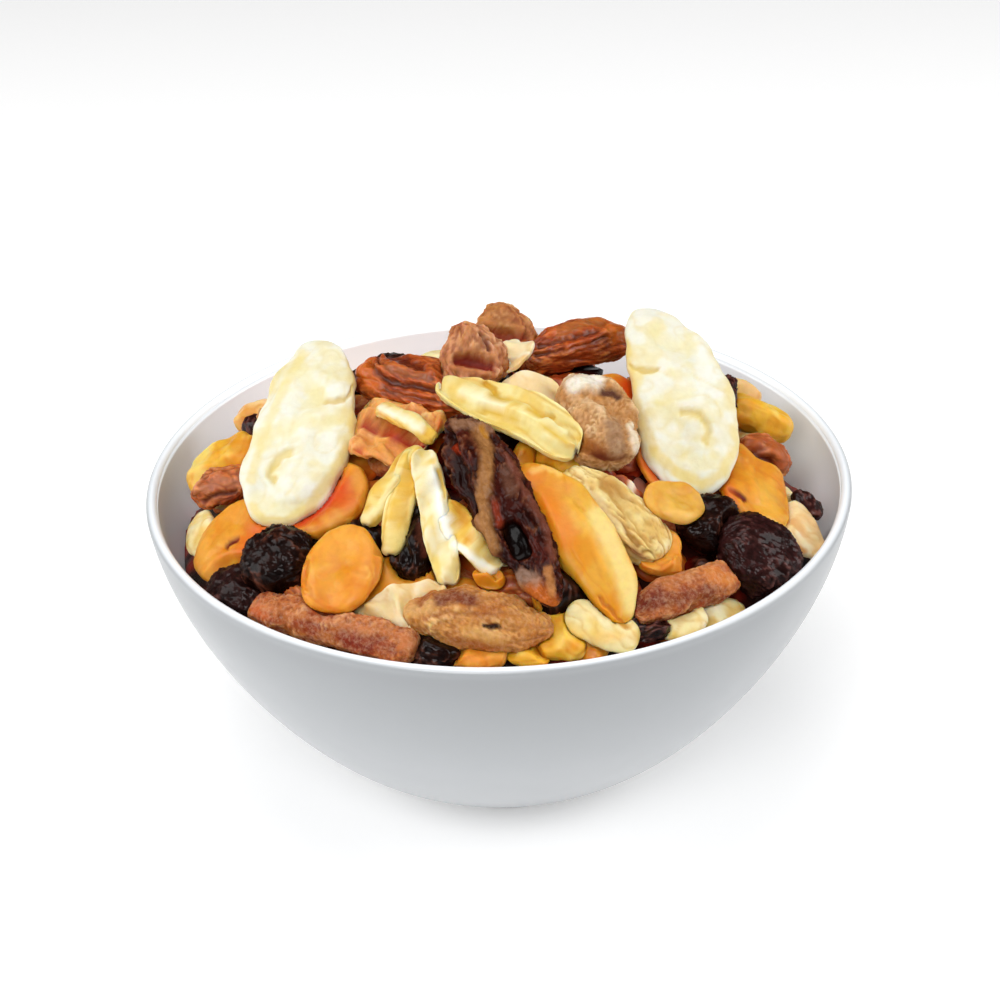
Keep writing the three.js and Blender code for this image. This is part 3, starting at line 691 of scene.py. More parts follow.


# %% [markdown]
# ## What each sort is like
#
# A sort is a form, its wrinkles, and its colours. The relief lists kind, size, spacing and how
# much it is stretched along the fruit, in millimetres. The colours are the flesh, a second
# tone that drifts through it, the painted shade at the bottom of the folds and the painted
# highlight on the backs between them. A function for each sort would repeat the same steps, so
# a sort is only its values. A few pieces differ from their sort, and their own values come after.

# %% Sorts of fruit
SORTS = {
    "creamSlice": dict(
        slot="cream_flesh", ends=2.35, sides=2.8, taper=-0.18, sway=3, bow=3, lumps=(1, 17),
        dents=[(-0.45, 0.25, 0.22, 1.6), (0.3, -0.3, 0.2, 1.2)],
        relief=[("soft", 0.8, 11, 1.2), ("billow", 0.35, 8, 1.1), ("soft", 0.25, 4, 1)],
        colours=("#F2EEE0", "#F0E6C6", "#E8D6A2", "#F6F3EA"), rim="#EEDCA8"),
    "date": dict(
        slot="date_skin", ends=3, sides=2.1, folds=(5, 0.07, 1.2), bow=2, lumps=(0.6, 12),
        relief=[("groove", 0.6, 3.4, 6), ("groove", 0.35, 1.8, 5), ("soft", 0.4, 7, 1.5),
                ("ridge", 0.15, 1.4, 2)],
        colours=("#D07038", "#B2562A", "#6A240E", "#E8A270")),
    "figCone": dict(
        slot="fig_skin", ends=2.2, sides=2, taper=-0.35, folds=(5, 0.07, 0.8), lumps=(0.8, 9),
        dents=[(-0.35, 0, 0.42, 4)],
        relief=[("groove", 0.6, 3.4, 1.4), ("ridge", 0.4, 2.2, 1.2), ("soft", 0.6, 6, 1),
                ("soft", 0.25, 1.6, 1)],
        colours=("#DEA480", "#C68862", "#884028", "#F2D0B4")),
    "sugaredFig": dict(
        slot="sugared_skin", ends=2.6, sides=2.8, lumps=(1.5, 13),
        relief=[("soft", 1.1, 7, 1), ("billow", 0.7, 2.6, 1), ("ridge", 0.4, 1.5, 1),
                ("groove", 0.3, 4, 1.3)],
        colours=("#E0B48A", "#CC9868", "#9A6634", "#F0D4B0")),
    "splitPrune": dict(
        slot="split_prune_skin", ends=2.5, sides=2.4, folds=(4, 0.07, 0.9), taper=-0.2,
        lumps=(0.9, 11),
        dents=[(-0.5, 0.45, 0.3, 3), (0.35, -0.25, 0.28, 3.5)],
        relief=[("groove", 0.7, 3, 2.6), ("ridge", 0.6, 2.6, 1.6), ("soft", 0.6, 5, 1.5),
                ("ridge", 0.35, 1.3, 1.2)],
        colours=("#541F18", "#38100B", "#120302", "#9A6A50")),
    "prune": dict(
        slot="prune_skin", ends=2.1, sides=2.1, folds=(5, 0.03, 1.6), lumps=(0.5, 8),
        relief=[("soft", 0.7, 6, 1), ("ridge", 0.52, 2.5, 1), ("ridge", 0.22, 1.4, 1)],
        colours=("#2A1412", "#1A0A0A", "#050202", "#7C5048")),
    "raisin": dict(
        slot="raisin_skin", ends=2.2, sides=2, folds=(4, 0.08, 1), lumps=(0.6, 7),
        relief=[("groove", 0.6, 3, 2.5), ("ridge", 0.35, 2, 1.4), ("soft", 0.4, 5, 1)],
        colours=("#DC8858", "#BC6844", "#602414", "#F0BC98")),
    "darkRaisin": dict(
        slot="dark_raisin_skin", ends=2.2, sides=2, folds=(3, 0.07, 1), lumps=(0.4, 5),
        relief=[("ridge", 0.5, 2.4, 1.5), ("groove", 0.4, 3, 1.5)],
        colours=("#3C1A1E", "#260E12", "#0A0203", "#84585A")),
    "apricot": dict(
        slot="apricot_flesh", ends=2.1, sides=2.5, lumps=(0.8, 15), cup=1, dents=[(0.1, 0.1, 0.4, 1)],
        relief=[("soft", 0.6, 9, 1), ("soft", 0.22, 3.4, 1), ("groove", 0.2, 6, 1.5), ("soft", 0.06, 1, 1)],
        colours=("#EAA63E", "#E69830", "#D87820", "#F0BA60")),
    "mango": dict(
        slot="mango_flesh", ends=1.9, sides=2.6, bow=4, sway=-1.5, lumps=(0.7, 16),
        relief=[("soft", 0.7, 10, 2), ("soft", 0.25, 3.6, 2), ("groove", 0.2, 5, 3), ("soft", 0.06, 1, 1)],
        colours=("#E8A42C", "#E9B248", "#DC8A22", "#F2CA72")),
    "ridgedSlice": dict(
        slot="ridged_flesh", ends=2.6, sides=2.8, folds=(7, 0.07, 0), bow=1.5, lumps=(0.8, 12),
        relief=[("groove", 0.9, 3.6, 5), ("groove", 0.4, 2, 3), ("soft", 0.5, 5, 1.5)],
        colours=("#F0DAA0", "#E6C280", "#C0904C", "#F9EDC8")),
    "stick": dict(
        slot="stick_skin", ends=4.5, sides=2.6, bow=2, folds=(3, 0.06, 1.5), lumps=(0.7, 10),
        relief=[("soft", 0.6, 4, 1.4), ("billow", 0.5, 2.4, 1.3), ("ridge", 0.3, 1.4, 1)],
        colours=("#C87C4A", "#AE5A30", "#782816", "#E8B688")),
    "spindle": dict(
        slot="spindle_skin", ends=1.8, sides=2.2, bow=2, folds=(3, 0.07, 0.8), lumps=(0.9, 11),
        relief=[("soft", 0.7, 6, 1.6), ("billow", 0.6, 2.4, 1.4), ("ridge", 0.3, 1.5, 1),
                ("groove", 0.4, 5, 2.5)],
        colours=("#DCA262", "#C68442", "#904E1E", "#F0D09C")),
    "chunk": dict(
        slot="yellow_flesh", ends=3.2, sides=3, lumps=(0.7, 9),
        relief=[("soft", 0.7, 6, 1), ("soft", 0.25, 2.6, 1), ("groove", 0.25, 5, 1.3), ("soft", 0.06, 1, 1)],
        colours=("#F0BC46", "#EDAA34", "#DC8C20", "#F8D884")),
    "orangeChunk": dict(
        slot="orange_flesh", ends=3, sides=2.8, lumps=(0.7, 9),
        relief=[("soft", 0.7, 6, 1), ("soft", 0.25, 2.6, 1), ("groove", 0.3, 4.5, 1.3)],
        colours=("#EAA040", "#E8AE58", "#CC6C20", "#F4C47C")),
    "paleSlice": dict(
        slot="pale_flesh", ends=2.3, sides=2.6, bow=1, lumps=(0.6, 10),
        relief=[("soft", 0.7, 7, 1.3), ("soft", 0.3, 3, 1), ("groove", 0.35, 5, 1.6)],
        colours=("#F6E5B6", "#F0D28C", "#DFB05E", "#FCF3D6")),
    "drop": dict(
        slot="golden_flesh", ends=2, sides=2,
        relief=[("soft", 0.4, 5, 1), ("soft", 0.1, 2, 1)],
        colours=("#E6A636", "#DE942A", "#BC6C18", "#F4C668")),
    "flap": dict(
        slot="flap_flesh", sheet=True, blunt=3, tip=0.35, bow=1.5, cup=1.2, wave=(0.6, 1.5, 1.5),
        relief=[("soft", 0.5, 6, 1), ("soft", 0.2, 2.4, 1), ("groove", 0.3, 4, 2)],
        colours=("#F7E4BE", "#F0D09C", "#DCA864", "#FCF1DC")),
    "foldedSlice": dict(
        slot="folded_flesh", sheet=True, blunt=2.8, tip=0.22, bow=3, pleat=(1.9, 1.6, 0.9),
        wave=(0.8, 1.5, 0.6),
        relief=[("groove", 0.5, 5, 6), ("soft", 0.4, 5, 2), ("soft", 0.15, 2, 1)],
        colours=("#F3E2A8", "#EED286", "#E0B454", "#F8EEC6")),
    "strip": dict(
        slot="strip_flesh", sheet=True, blunt=3.2, tip=0.3, bow=2, cup=-1, wave=(0.6, 2, 0.5),
        relief=[("groove", 0.5, 4, 5), ("soft", 0.4, 4, 2), ("soft", 0.12, 1.6, 1)],
        colours=("#F6DD98", "#EFC866", "#DEA83C", "#FBEFC4")),
    "ruffle": dict(
        slot="white_flesh", sheet=True, blunt=3, tip=0.4, bow=2.5, wave=(0.9, 3, 2.4),
        relief=[("soft", 0.6, 5, 1.5), ("soft", 0.2, 2, 1), ("groove", 0.3, 4, 3)],
        colours=("#F8EAC6", "#F4DEA2", "#EAC262", "#FBF3DC")),
    "crumpled": dict(
        slot="crumpled_flesh", sheet=True, blunt=3, tip=0.5, bow=1, pleat=(1, 2.2, 1.1),
        wave=(1, 2.5, 1),
        relief=[("ridge", 0.6, 4.4, 1.3), ("groove", 0.5, 3.4, 1.3), ("soft", 0.5, 3, 1)],
        colours=("#F0B272", "#E69C50", "#CC5826", "#FADCA8")),
}
OWN = {
    "cream_slice_left": dict(slim=0.93),
    "cream_slice_right": dict(slim=0.93),
    "split_prune": dict(ends=2.2, sides=2.2, slim=0.84),
    "golden_oval": dict(colours=("#E9B65A", "#E3A544", "#D58F30", "#F1CC80")),
    "fig_back": dict(colours=("#D49668", "#BC784E", "#863C20", "#ECC8A0")),
    "amber_piece": dict(colours=("#C87A3C", "#B05A26", "#7E3214", "#E2AA72")),
    "pale_chunk_left": dict(colours=("#EEC084", "#E8AE64", "#D89048", "#F6D8AC")),
    "pale_chunk_right": dict(colours=("#F0C890", "#EAB874", "#D89A50", "#F8E0B8")),
    "pale_slice_right": dict(colours=("#F6DDB0", "#F2CFA0", "#E2AC6C", "#FCEFD4")),
    "prune_large": dict(colours=("#40242A", "#2E171B", "#0E0506", "#8E6468")),
    "prune_corner": dict(colours=("#382024", "#281318", "#0A0405", "#805A5E")),
    "mango_slice": dict(ends=2.1, sides=3.4),
    "cream_tail": dict(wave=(1.1, 2.5, 1.5)),
    ("white_strip", "strip"): dict(slim=1.3, wave=(0.9, 2.2, 1.2)),
    # yellow_chunk_right is painted lighter than its sort, as painted light, because it lies in shade.
    "yellow_chunk_right": dict(colours=("#F5C650", "#F2B640", "#E49C2C", "#FBE090")),
}
print("sorts of fruit:", len(SORTS))

# %% [markdown]
# ## Colour that follows the form
#
# A photograph of a date is mostly a picture of its folds: dark at the bottom, light on the
# backs. So the colour of each point is worked out from the same relief that moved it: the
# bottom of each fold is darkened as painted shade, each back is lightened as a painted
# highlight, and a slow drift between two tones runs through it. Marks add what is peculiar to
# one piece, such as the golden stripe of a strip or the orange end of a date, and many add
# painted shade in creases and painted highlights on ridges. A shader could look for the folds
# itself, but only here, where the relief is made, are they known exactly. The result is stored
# in the mesh as paint, and the material reads it from there. The written tones are those that
# the eye should see. In bright light paint looks paler than it is, so each piece is painted
# deeper, by a factor and a power for each of red, green and blue.

# %% Paint
def colour(code):
    """A written colour such as #F2A33C as linear light."""
    value = np.array([int(code[i:i + 2], 16) for i in (1, 3, 5)]) / 255
    return np.where(value <= 0.04045, value / 12.92, ((value + 0.055) / 1.055) ** 2.4)


SEEN_TO_PAINT = np.array([0.85, 0.88, 0.9])
DEEPER = np.array([1.08, 1.14, 1.24])
DRIFT_SPACING = 9
FLECK_SPACING = 3.2
BACK_HIGHLIGHT_SHARE = 0.75
FOLD_SHADE_SHARE = 0.9
RIM_SHARE = 0.8
MARK_REACH = 1.3


def blend(paint, tone, share):
    """Lays a tone over paint, by a share from 0 to 1 for each point."""
    return paint + (colour(tone) - paint) * np.clip(share, 0, 1)[:, None]


def paint_of(form, points, v, height, depth, seed):
    """The paint of each point: drifting flesh tones, painted shade in the folds, painted highlights on the
    backs.
    """
    flesh, second, fold, back = form["colours"]
    flecks = noise(points / FLECK_SPACING + seed * 2.3, 32)
    drift = noise(points / DRIFT_SPACING + seed * 5.1, 31) + 0.5 * flecks
    paint = np.repeat(colour(flesh)[None], len(points), 0)
    paint = blend(paint, second, smooth(drift, -0.25, 0.55))
    # Painted highlight on the backs of the relief, painted shade at the bottom of its folds.
    lift = height / (np.abs(height).max() + 1e-6)
    paint = blend(paint, back, BACK_HIGHLIGHT_SHARE * smooth(lift, 0.1, 0.8))
    paint = blend(paint, fold, FOLD_SHADE_SHARE * depth)
    if "rim" in form:
        paint = blend(paint, form["rim"], RIM_SHARE * smooth(np.abs(v) + 0.15 * drift, 0.72, 1))
    return paint


def mark_share(seen, up, path, half_width):
    """How strongly a mark drawn in the picture covers each point of a piece's upper side."""
    line = np.array(path, float)
    off = np.hypot(*(seen - line[0]).T)
    for start, end in zip(line[:-1], line[1:]):
        step = end - start
        t = np.clip((seen - start) @ step / (step @ step), 0, 1)
        off = np.minimum(off, np.hypot(*(seen - start - t[:, None] * step).T))
    near = smooth(MARK_REACH - off / (half_width * PIXELS_PER_MM), 0, 1)
    return near * smooth(up, -0.1, 0.3)


print("flesh of an apricot in linear light:", colour(SORTS["apricot"]["colours"][0]).round(3))

# %% [markdown]
# ## Making one piece
#
# Now the steps come together. The form gives the large shape, and the slope between
# neighbouring points gives the direction in which the skin faces. The relief moves each point
# along it. Then the piece is laid in the heap, pressed by what is above it, and kept inside
# the bowl. Deep in the gaps the paint of what lies there is drawn towards a glowing red, as
# painted shade and a painted glow of the light that has passed through apricot.

# %% One piece
FINE = 0.62
LOOSE = 1.0
WAVER = 1.6
WAVER_SPACING = 2.5
SHEET_RELIEF = 0.8
FULL_RELIEF_THICK = 7
MARK_SMOOTHS = 0.5
# GLOW is painted shade and painted glow, laid on what lies deep below the hill's skin.
GLOW = "#B8280E"
GLOW_SHARE = 0.7
GLOW_BELOW = (4, 11)


def facing(grid):
    """The direction in which each point of a closed grid of rings faces."""
    along = np.gradient(grid, axis=0)
    around = np.roll(grid, -1, axis=1) - np.roll(grid, 1, axis=1)
    normal = np.cross(around, along)
    return normal / (np.linalg.norm(normal, axis=2, keepdims=True) + 1e-9)


def make_skin(form, start, end, width, thick, roll, seed, above, spacing=FINE, marks=()):
    """Points, ring counts and paint of one piece of fruit, laid in the heap."""
    width = width * form.get("slim", 1)
    middle, length, axes = lie(start, end, roll)
    u, angle = skin_grid(length, width, thick, spacing)
    uu, aa = np.meshgrid(u, angle, indexing="ij")
    if form.get("sheet"):
        x, y, z, v = thin_form(form, length, width, thick, uu, aa)
    else:
        x, y, z, v = fleshy_form(form, length, width, thick, uu, aa, seed)
    grid = np.stack([x, y, z], 2)
    flat = grid.reshape(-1, 3)
    height, depth = relief(flat, form["relief"], seed)
    paint = paint_of(form, flat, v.ravel(), height, depth, seed)
    height *= SHEET_RELIEF if form.get("sheet") else min(1, thick / FULL_RELIEF_THICK)
    up = np.sin(aa).ravel()
    at = flat / WAVER_SPACING + seed
    waver = np.stack([noise(at, 41), noise(at, 42)], 1)
    seen = in_picture(flat @ axes + middle) + WAVER * waver
    # Each mark moves the skin by its depth and lays its tone: painted shade in creases, painted highlights
    # on ridges.
    for _, path, half_width, deep, tone, strength in marks:
        share = mark_share(seen, up, path, half_width)
        height = height * (1 - MARK_SMOOTHS * share) - deep * share
        paint = blend(paint, tone, strength * share)
    fade = np.clip(2.2 * np.sqrt(1 - np.abs(uu) ** 2), 0, 1)
    grid = grid + facing(grid) * (height.reshape(x.shape) * fade)[..., None]
    ends = np.array([grid[0].mean(0), grid[-1].mean(0)])
    points = np.r_[grid.reshape(-1, 3), ends] @ axes + middle
    paint = np.r_[paint, [paint[:len(angle)].mean(0), paint[-len(angle):].mean(0)]]
    points = keep_in_bowl(give_way(points, above))
    # Painted shade and a painted red glow for points sunk below the hill's skin.
    sunk = heap_height(points[:, 0], points[:, 1]) - points[:, 2]
    paint = SEEN_TO_PAINT * blend(paint, GLOW, GLOW_SHARE * smooth(sunk, *GLOW_BELOW)) ** DEEPER
    laid = dict(form=form, middle=middle, length=length, width=width, thick=thick, axes=axes)
    return points, (len(u), len(angle)), np.clip(paint, 0, 1), laid


# %% [markdown]
# ## Flesh and skin
#
# All sorts share one recipe with different measures. Light goes a few millimetres into dried
# apricot and comes out warmer, and hardly into a prune. The gloss drifts, because sugar and
# oil lie unevenly. A fine grain below the size of the mesh is left to bump. Noise does all of
# this and needs no pictures, so the same finish fits any piece, whatever its shape.

# %% Fruit materials
MOTTLE_MM = 1.8
CRYSTALS_MM = 1.5
GLOSS_MM = 4
SUGAR = (0.78, 0.52, 0.32, 1)


def fruit_material(name, rough=(0.35, 0.55), deep=0.0, glow=(1.0, 0.42, 0.12), grain_mm=1.2,
                   grain_depth=0.12, mottle=0.12, coat=0.0, wet=0.15, sugar=0.0, shine=0.22):
    """Painted flesh, mottled, perhaps dusted with sugar, that lets light in and shines unevenly."""
    made, tree, shader = material(name)
    skin = tree.nodes.new("ShaderNodeAttribute")
    skin.attribute_name = "skin"
    tint = tree.nodes.new("ShaderNodeMix")
    tint.data_type = "RGBA"
    tint.blend_type = "MULTIPLY"
    tint.inputs["Factor"].default_value = 1
    ramp = tree.nodes.new("ShaderNodeValToRGB")
    ramp.color_ramp.elements[0].position = 0.3
    ramp.color_ramp.elements[0].color = (1 - mottle, 1 - mottle * 1.25, 1 - mottle * 1.6, 1)
    ramp.color_ramp.elements[1].position = 0.62
    ramp.color_ramp.elements[1].color = (1, 1, 1, 1)
    mottling = noise_node(tree, MOTTLE_MM, detail=3)
    tree.links.new(mottling.outputs["Fac"], ramp.inputs["Fac"])
    tree.links.new(skin.outputs["Color"], tint.inputs["A"])
    tree.links.new(ramp.outputs["Color"], tint.inputs["B"])
    result = tint.outputs["Result"]
    if sugar:
        dust = tree.nodes.new("ShaderNodeMix")
        dust.data_type = "RGBA"
        dust.inputs["B"].default_value = SUGAR
        crystals = noise_node(tree, CRYSTALS_MM, detail=3, roughness=0.7)
        share = spread(tree, crystals.outputs["Fac"], -0.5 * sugar, sugar)
        tree.links.new(share, dust.inputs["Factor"])
        tree.links.new(result, dust.inputs["A"])
        result = dust.outputs["Result"]
    tree.links.new(result, shader.inputs["Base Color"])
    gloss = noise_node(tree, GLOSS_MM, detail=2)
    tree.links.new(spread(tree, gloss.outputs["Fac"], *rough), shader.inputs["Roughness"])
    shader.inputs["Specular IOR Level"].default_value = shine
    shader.inputs["Subsurface Weight"].default_value = 1.0 if deep else 0.0
    shader.inputs["Subsurface Radius"].default_value = glow
    shader.inputs["Subsurface Scale"].default_value = deep * MM
    shader.inputs["Coat Weight"].default_value = coat
    shader.inputs["Coat Roughness"].default_value = wet
    grain = noise_node(tree, grain_mm, detail=3, roughness=0.6)
    bump(tree, shader, grain.outputs["Fac"], grain_depth)
    return made


CREAMY = (1, 0.8, 0.55)
PALE = (1, 0.65, 0.35)
FINISHES = {
    "cream_flesh": dict(rough=(0.5, 0.65), deep=1.8, glow=CREAMY, mottle=0.04),
    "date_skin": dict(rough=(0.3, 0.5), deep=0.8, grain_depth=0.2, coat=0.2),
    "fig_skin": dict(rough=(0.45, 0.65), deep=0.7, grain_depth=0.25, mottle=0.2),
    "sugared_skin": dict(rough=(0.6, 0.8), deep=1.0, glow=PALE, grain_depth=0.4, mottle=0.2,
                         shine=0.15),
    "split_prune_skin": dict(rough=(0.35, 0.6), grain_mm=0.9, grain_depth=0.35, mottle=0.3,
                             coat=0.14, wet=0.12, shine=0.05),
    "prune_skin": dict(rough=(0.35, 0.5), grain_mm=0.9, grain_depth=0.3, mottle=0.25,
                       coat=0.22, wet=0.12, shine=0.04),
    "raisin_skin": dict(rough=(0.35, 0.55), deep=0.6, grain_depth=0.2, coat=0.1),
    "dark_raisin_skin": dict(rough=(0.35, 0.5), grain_mm=0.8, grain_depth=0.3, mottle=0.25,
                             coat=0.3, wet=0.1, shine=0.06),
    "apricot_flesh": dict(rough=(0.34, 0.5), deep=2.6, mottle=0.07, grain_depth=0.08, shine=0.3),
    "mango_flesh": dict(rough=(0.36, 0.52), deep=2.4, mottle=0.06, grain_depth=0.08, shine=0.3),
    "ridged_flesh": dict(rough=(0.45, 0.65), deep=1.6, glow=PALE, mottle=0.1),
    "stick_skin": dict(rough=(0.55, 0.8), deep=0.6, grain_depth=0.3, mottle=0.2, sugar=0.3),
    "spindle_skin": dict(rough=(0.5, 0.75), deep=0.8, grain_depth=0.3, mottle=0.18, sugar=0.2),
    "yellow_flesh": dict(rough=(0.36, 0.55), deep=2.2, glow=(1, 0.55, 0.16), mottle=0.06, shine=0.3),
    "orange_flesh": dict(rough=(0.36, 0.55), deep=2.2, mottle=0.08, shine=0.3),
    "pale_flesh": dict(rough=(0.42, 0.6), deep=1.8, glow=PALE, mottle=0.06),
    "golden_flesh": dict(rough=(0.3, 0.45), deep=2.2, glow=(1, 0.5, 0.15), mottle=0.06, shine=0.3),
    "flap_flesh": dict(rough=(0.45, 0.6), deep=0.8, glow=PALE, mottle=0.05),
    "folded_flesh": dict(rough=(0.42, 0.6), deep=0.8, glow=CREAMY, mottle=0.05),
    "strip_flesh": dict(rough=(0.42, 0.6), deep=0.35, glow=CREAMY, mottle=0.05),
    "white_flesh": dict(rough=(0.42, 0.6), deep=0.3, glow=CREAMY, mottle=0.03),
    "crumpled_flesh": dict(rough=(0.35, 0.6), deep=1.6, mottle=0.15, grain_depth=0.2, shine=0.3),
}
MATERIALS = {name: fruit_material(name, **finish) for name, finish in FINISHES.items()}
print("fruit materials:", len(MATERIALS))

# %% [markdown]
# ## The fruit that lies open
#
# Fifty-seven pieces lie open on the heap. Each row says its sort, its two ends, its width and
# thickness, and how far it is rolled about its length, the uppermost first. Two rows with one
# name have grown together and are one piece.

# %% The rows
FRUIT = [
    ("cream_slice_left", "creamSlice", (-64, -45, 111), (-52, 18, 140), 33, 8, 22),
    ("cream_slice_right", "creamSlice", (62, -38, 113), (51, 28, 143), 33, 8, -22),
    ("folded_slice", "foldedSlice", (-16, -17, 142), (23, -45, 135), 18, 2.4, 0),
    ("fig_front", "figCone", (-5, -10, 135), (-9, 6, 149), 19, 15, 0),
    ("fig_back", "figCone", (5, 14, 133), (1, 30, 143), 19, 14, 0),
    ("date_left", "date", (-42, 10, 132), (-1, -19, 133), 19, 15, 0),
    ("date_right", "date", (8, 10, 135), (42, 32, 130), 17, 14, 0),
    ("split_prune", "splitPrune", (-12, -36, 139), (15, -94, 110), 21, 13, 0),
    ("white_strip", "ruffle", (-22, -42, 133), (-15, -82, 112), 9, 2.6, 0),
    ("white_strip", "strip", (-18, -60, 124), (0, -80, 116), 9, 2.6, 0),
    ("forked_strip", "strip", (-24, -38, 132), (-40, -58, 118), 8, 2.4, 10),
    ("forked_strip", "strip", (-24, -39, 132), (-32, -70, 115), 8, 2.4, -10),
    ("mango_slice", "mango", (8, -48, 132), (37, -91, 105), 20, 8, 0),
    ("sugared_fig", "sugaredFig", (27, -11, 136), (32, -44, 127), 23, 15, 0),
    ("white_shred", "strip", (-36, -16, 134), (-19, -36, 134), 6, 2.2, 0),
    ("apricot_front", "apricot", (-57, -68, 107), (-34, -76, 112), 28, 8, 0),
    ("golden_oval", "apricot", (42, -55, 120), (60, -49, 114), 14, 6, 0),
    ("prune_large", "prune", (64, -58, 106), (88, -50, 93), 27, 17, 0),
    ("date_stick_right", "stick", (38, -88, 104), (68, -66, 101), 11, 9, 0),
    ("date_stick_front", "stick", (-73, -67, 96), (-25, -98, 100), 11, 9, 0),
    ("brown_spindle", "spindle", (-28, -88, 107), (14, -96, 104), 19, 11, 0),
    ("cream_leaf", "paleSlice", (18, -90, 106), (38, -95, 98), 14, 4, 0),
    ("prune_left", "prune", (-75, -52, 102), (-55, -63, 109), 21, 15, 0),
    ("prune_corner", "prune", (-87, -50, 90), (-67, -63, 98), 18, 12, 0),
    ("raisin_left", "raisin", (-95, -4, 97), (-76, -14, 108), 14, 10, 0),
    ("ridged_slice", "ridgedSlice", (19, -47, 126), (47, -68, 110), 18, 8, 0),
    ("crumpled_slice", "crumpled", (-43, -13, 128), (-20, -33, 129), 26, 2.6, 0),
    ("cream_curl", "flap", (4, -8, 141), (9, 6, 142), 9, 2.4, 0),
    ("pale_flap", "flap", (0, -19, 136), (20, -16, 134), 19, 3, 0),
    ("pale_tip", "paleSlice", (-26, 20, 129), (-9, 22, 130), 16, 4, 0),
    ("raisin_right", "raisin", (75, -4, 108), (91, 0, 99), 14, 10, 0),
    ("apricot_left", "apricot", (-92, -33, 93), (-63, -44, 108), 30, 8, 0),
    ("apricot_right", "apricot", (66, -25, 111), (88, -23, 98), 36, 8, 0),
    ("prune_right", "prune", (54, -57, 109), (70, -40, 106), 18, 14, 0),
    ("yellow_chunk_left", "chunk", (-97, 8, 95), (-76, 4, 108), 20, 10, 0),
    ("yellow_chunk_right", "chunk", (74, 23, 109), (94, 22, 98), 19, 10, 0),
    ("pale_chunk_left", "chunk", (-84, 30, 103), (-71, 30, 108), 14, 8, 0),
    ("pale_chunk_right", "chunk", (70, 42, 107), (86, 36, 102), 15, 8, 0),
    ("raisin_rear_left", "darkRaisin", (-77, 24, 108), (-78, 9, 108), 8, 7, 0),
    ("raisin_rear_right", "darkRaisin", (73, 30, 114), (77, 17, 112), 8, 7, 0),
    ("golden_ball", "drop", (8, -36, 130), (7, -47, 126), 7, 7, 0),
    ("golden_wedge", "chunk", (10, -36, 129), (27, -42, 125), 12, 7, 0),
    ("amber_piece", "orangeChunk", (31, -46, 122), (39, -59, 117), 13, 7, 0),
    ("golden_drop", "drop", (-8, -80, 113), (1, -83, 111), 7, 6, 0),
    ("cream_tail", "flap", (-43, -86, 101), (-15, -85, 108), 14, 3, 0),
    ("apricot_shaded", "apricot", (-63, -34, 109), (-39, -42, 117), 28, 8, 0),
    ("apricot_deep", "apricot", (42, -26, 119), (66, -28, 109), 28, 8, 0),
    ("apricot_wedge", "orangeChunk", (45, -58, 112), (46, -73, 106), 14, 8, 0),
    ("orange_flap", "apricot", (33, 4, 130), (46, -18, 123), 18, 6, 0),
    ("prune_shaded", "prune", (-26, -54, 119), (-25, -76, 109), 14, 12, 0),
    ("prune_front", "prune", (-26, -95, 99), (-12, -97, 99), 14, 12, 0),
    ("orange_front", "orangeChunk", (-17, -96, 100), (1, -99, 98), 12, 8, 0),
    ("yellow_front", "chunk", (9, -95, 100), (23, -94, 100), 13, 8, 0),
    ("raisin_front", "darkRaisin", (36, -92, 100), (47, -88, 99), 9, 8, 0),
    ("golden_front", "chunk", (1, -98, 98), (13, -99, 98), 9, 6, 0),
    ("pale_slice_right", "paleSlice", (84, -36, 98), (98, -26, 91), 21, 4.5, 0),
    ("pale_slice_left", "paleSlice", (-94, -10, 93), (-90, -34, 94), 11, 4, 0),
    ("pale_bit_front", "paleSlice", (44, -89, 98), (58, -80, 98), 11, 4, 0),
    ("raisin_edge", "darkRaisin", (91, -14, 97), (99, -20, 91), 8, 6, 0),
]
print("rows:", len(FRUIT), "pieces:", len({row[0] for row in FRUIT}))
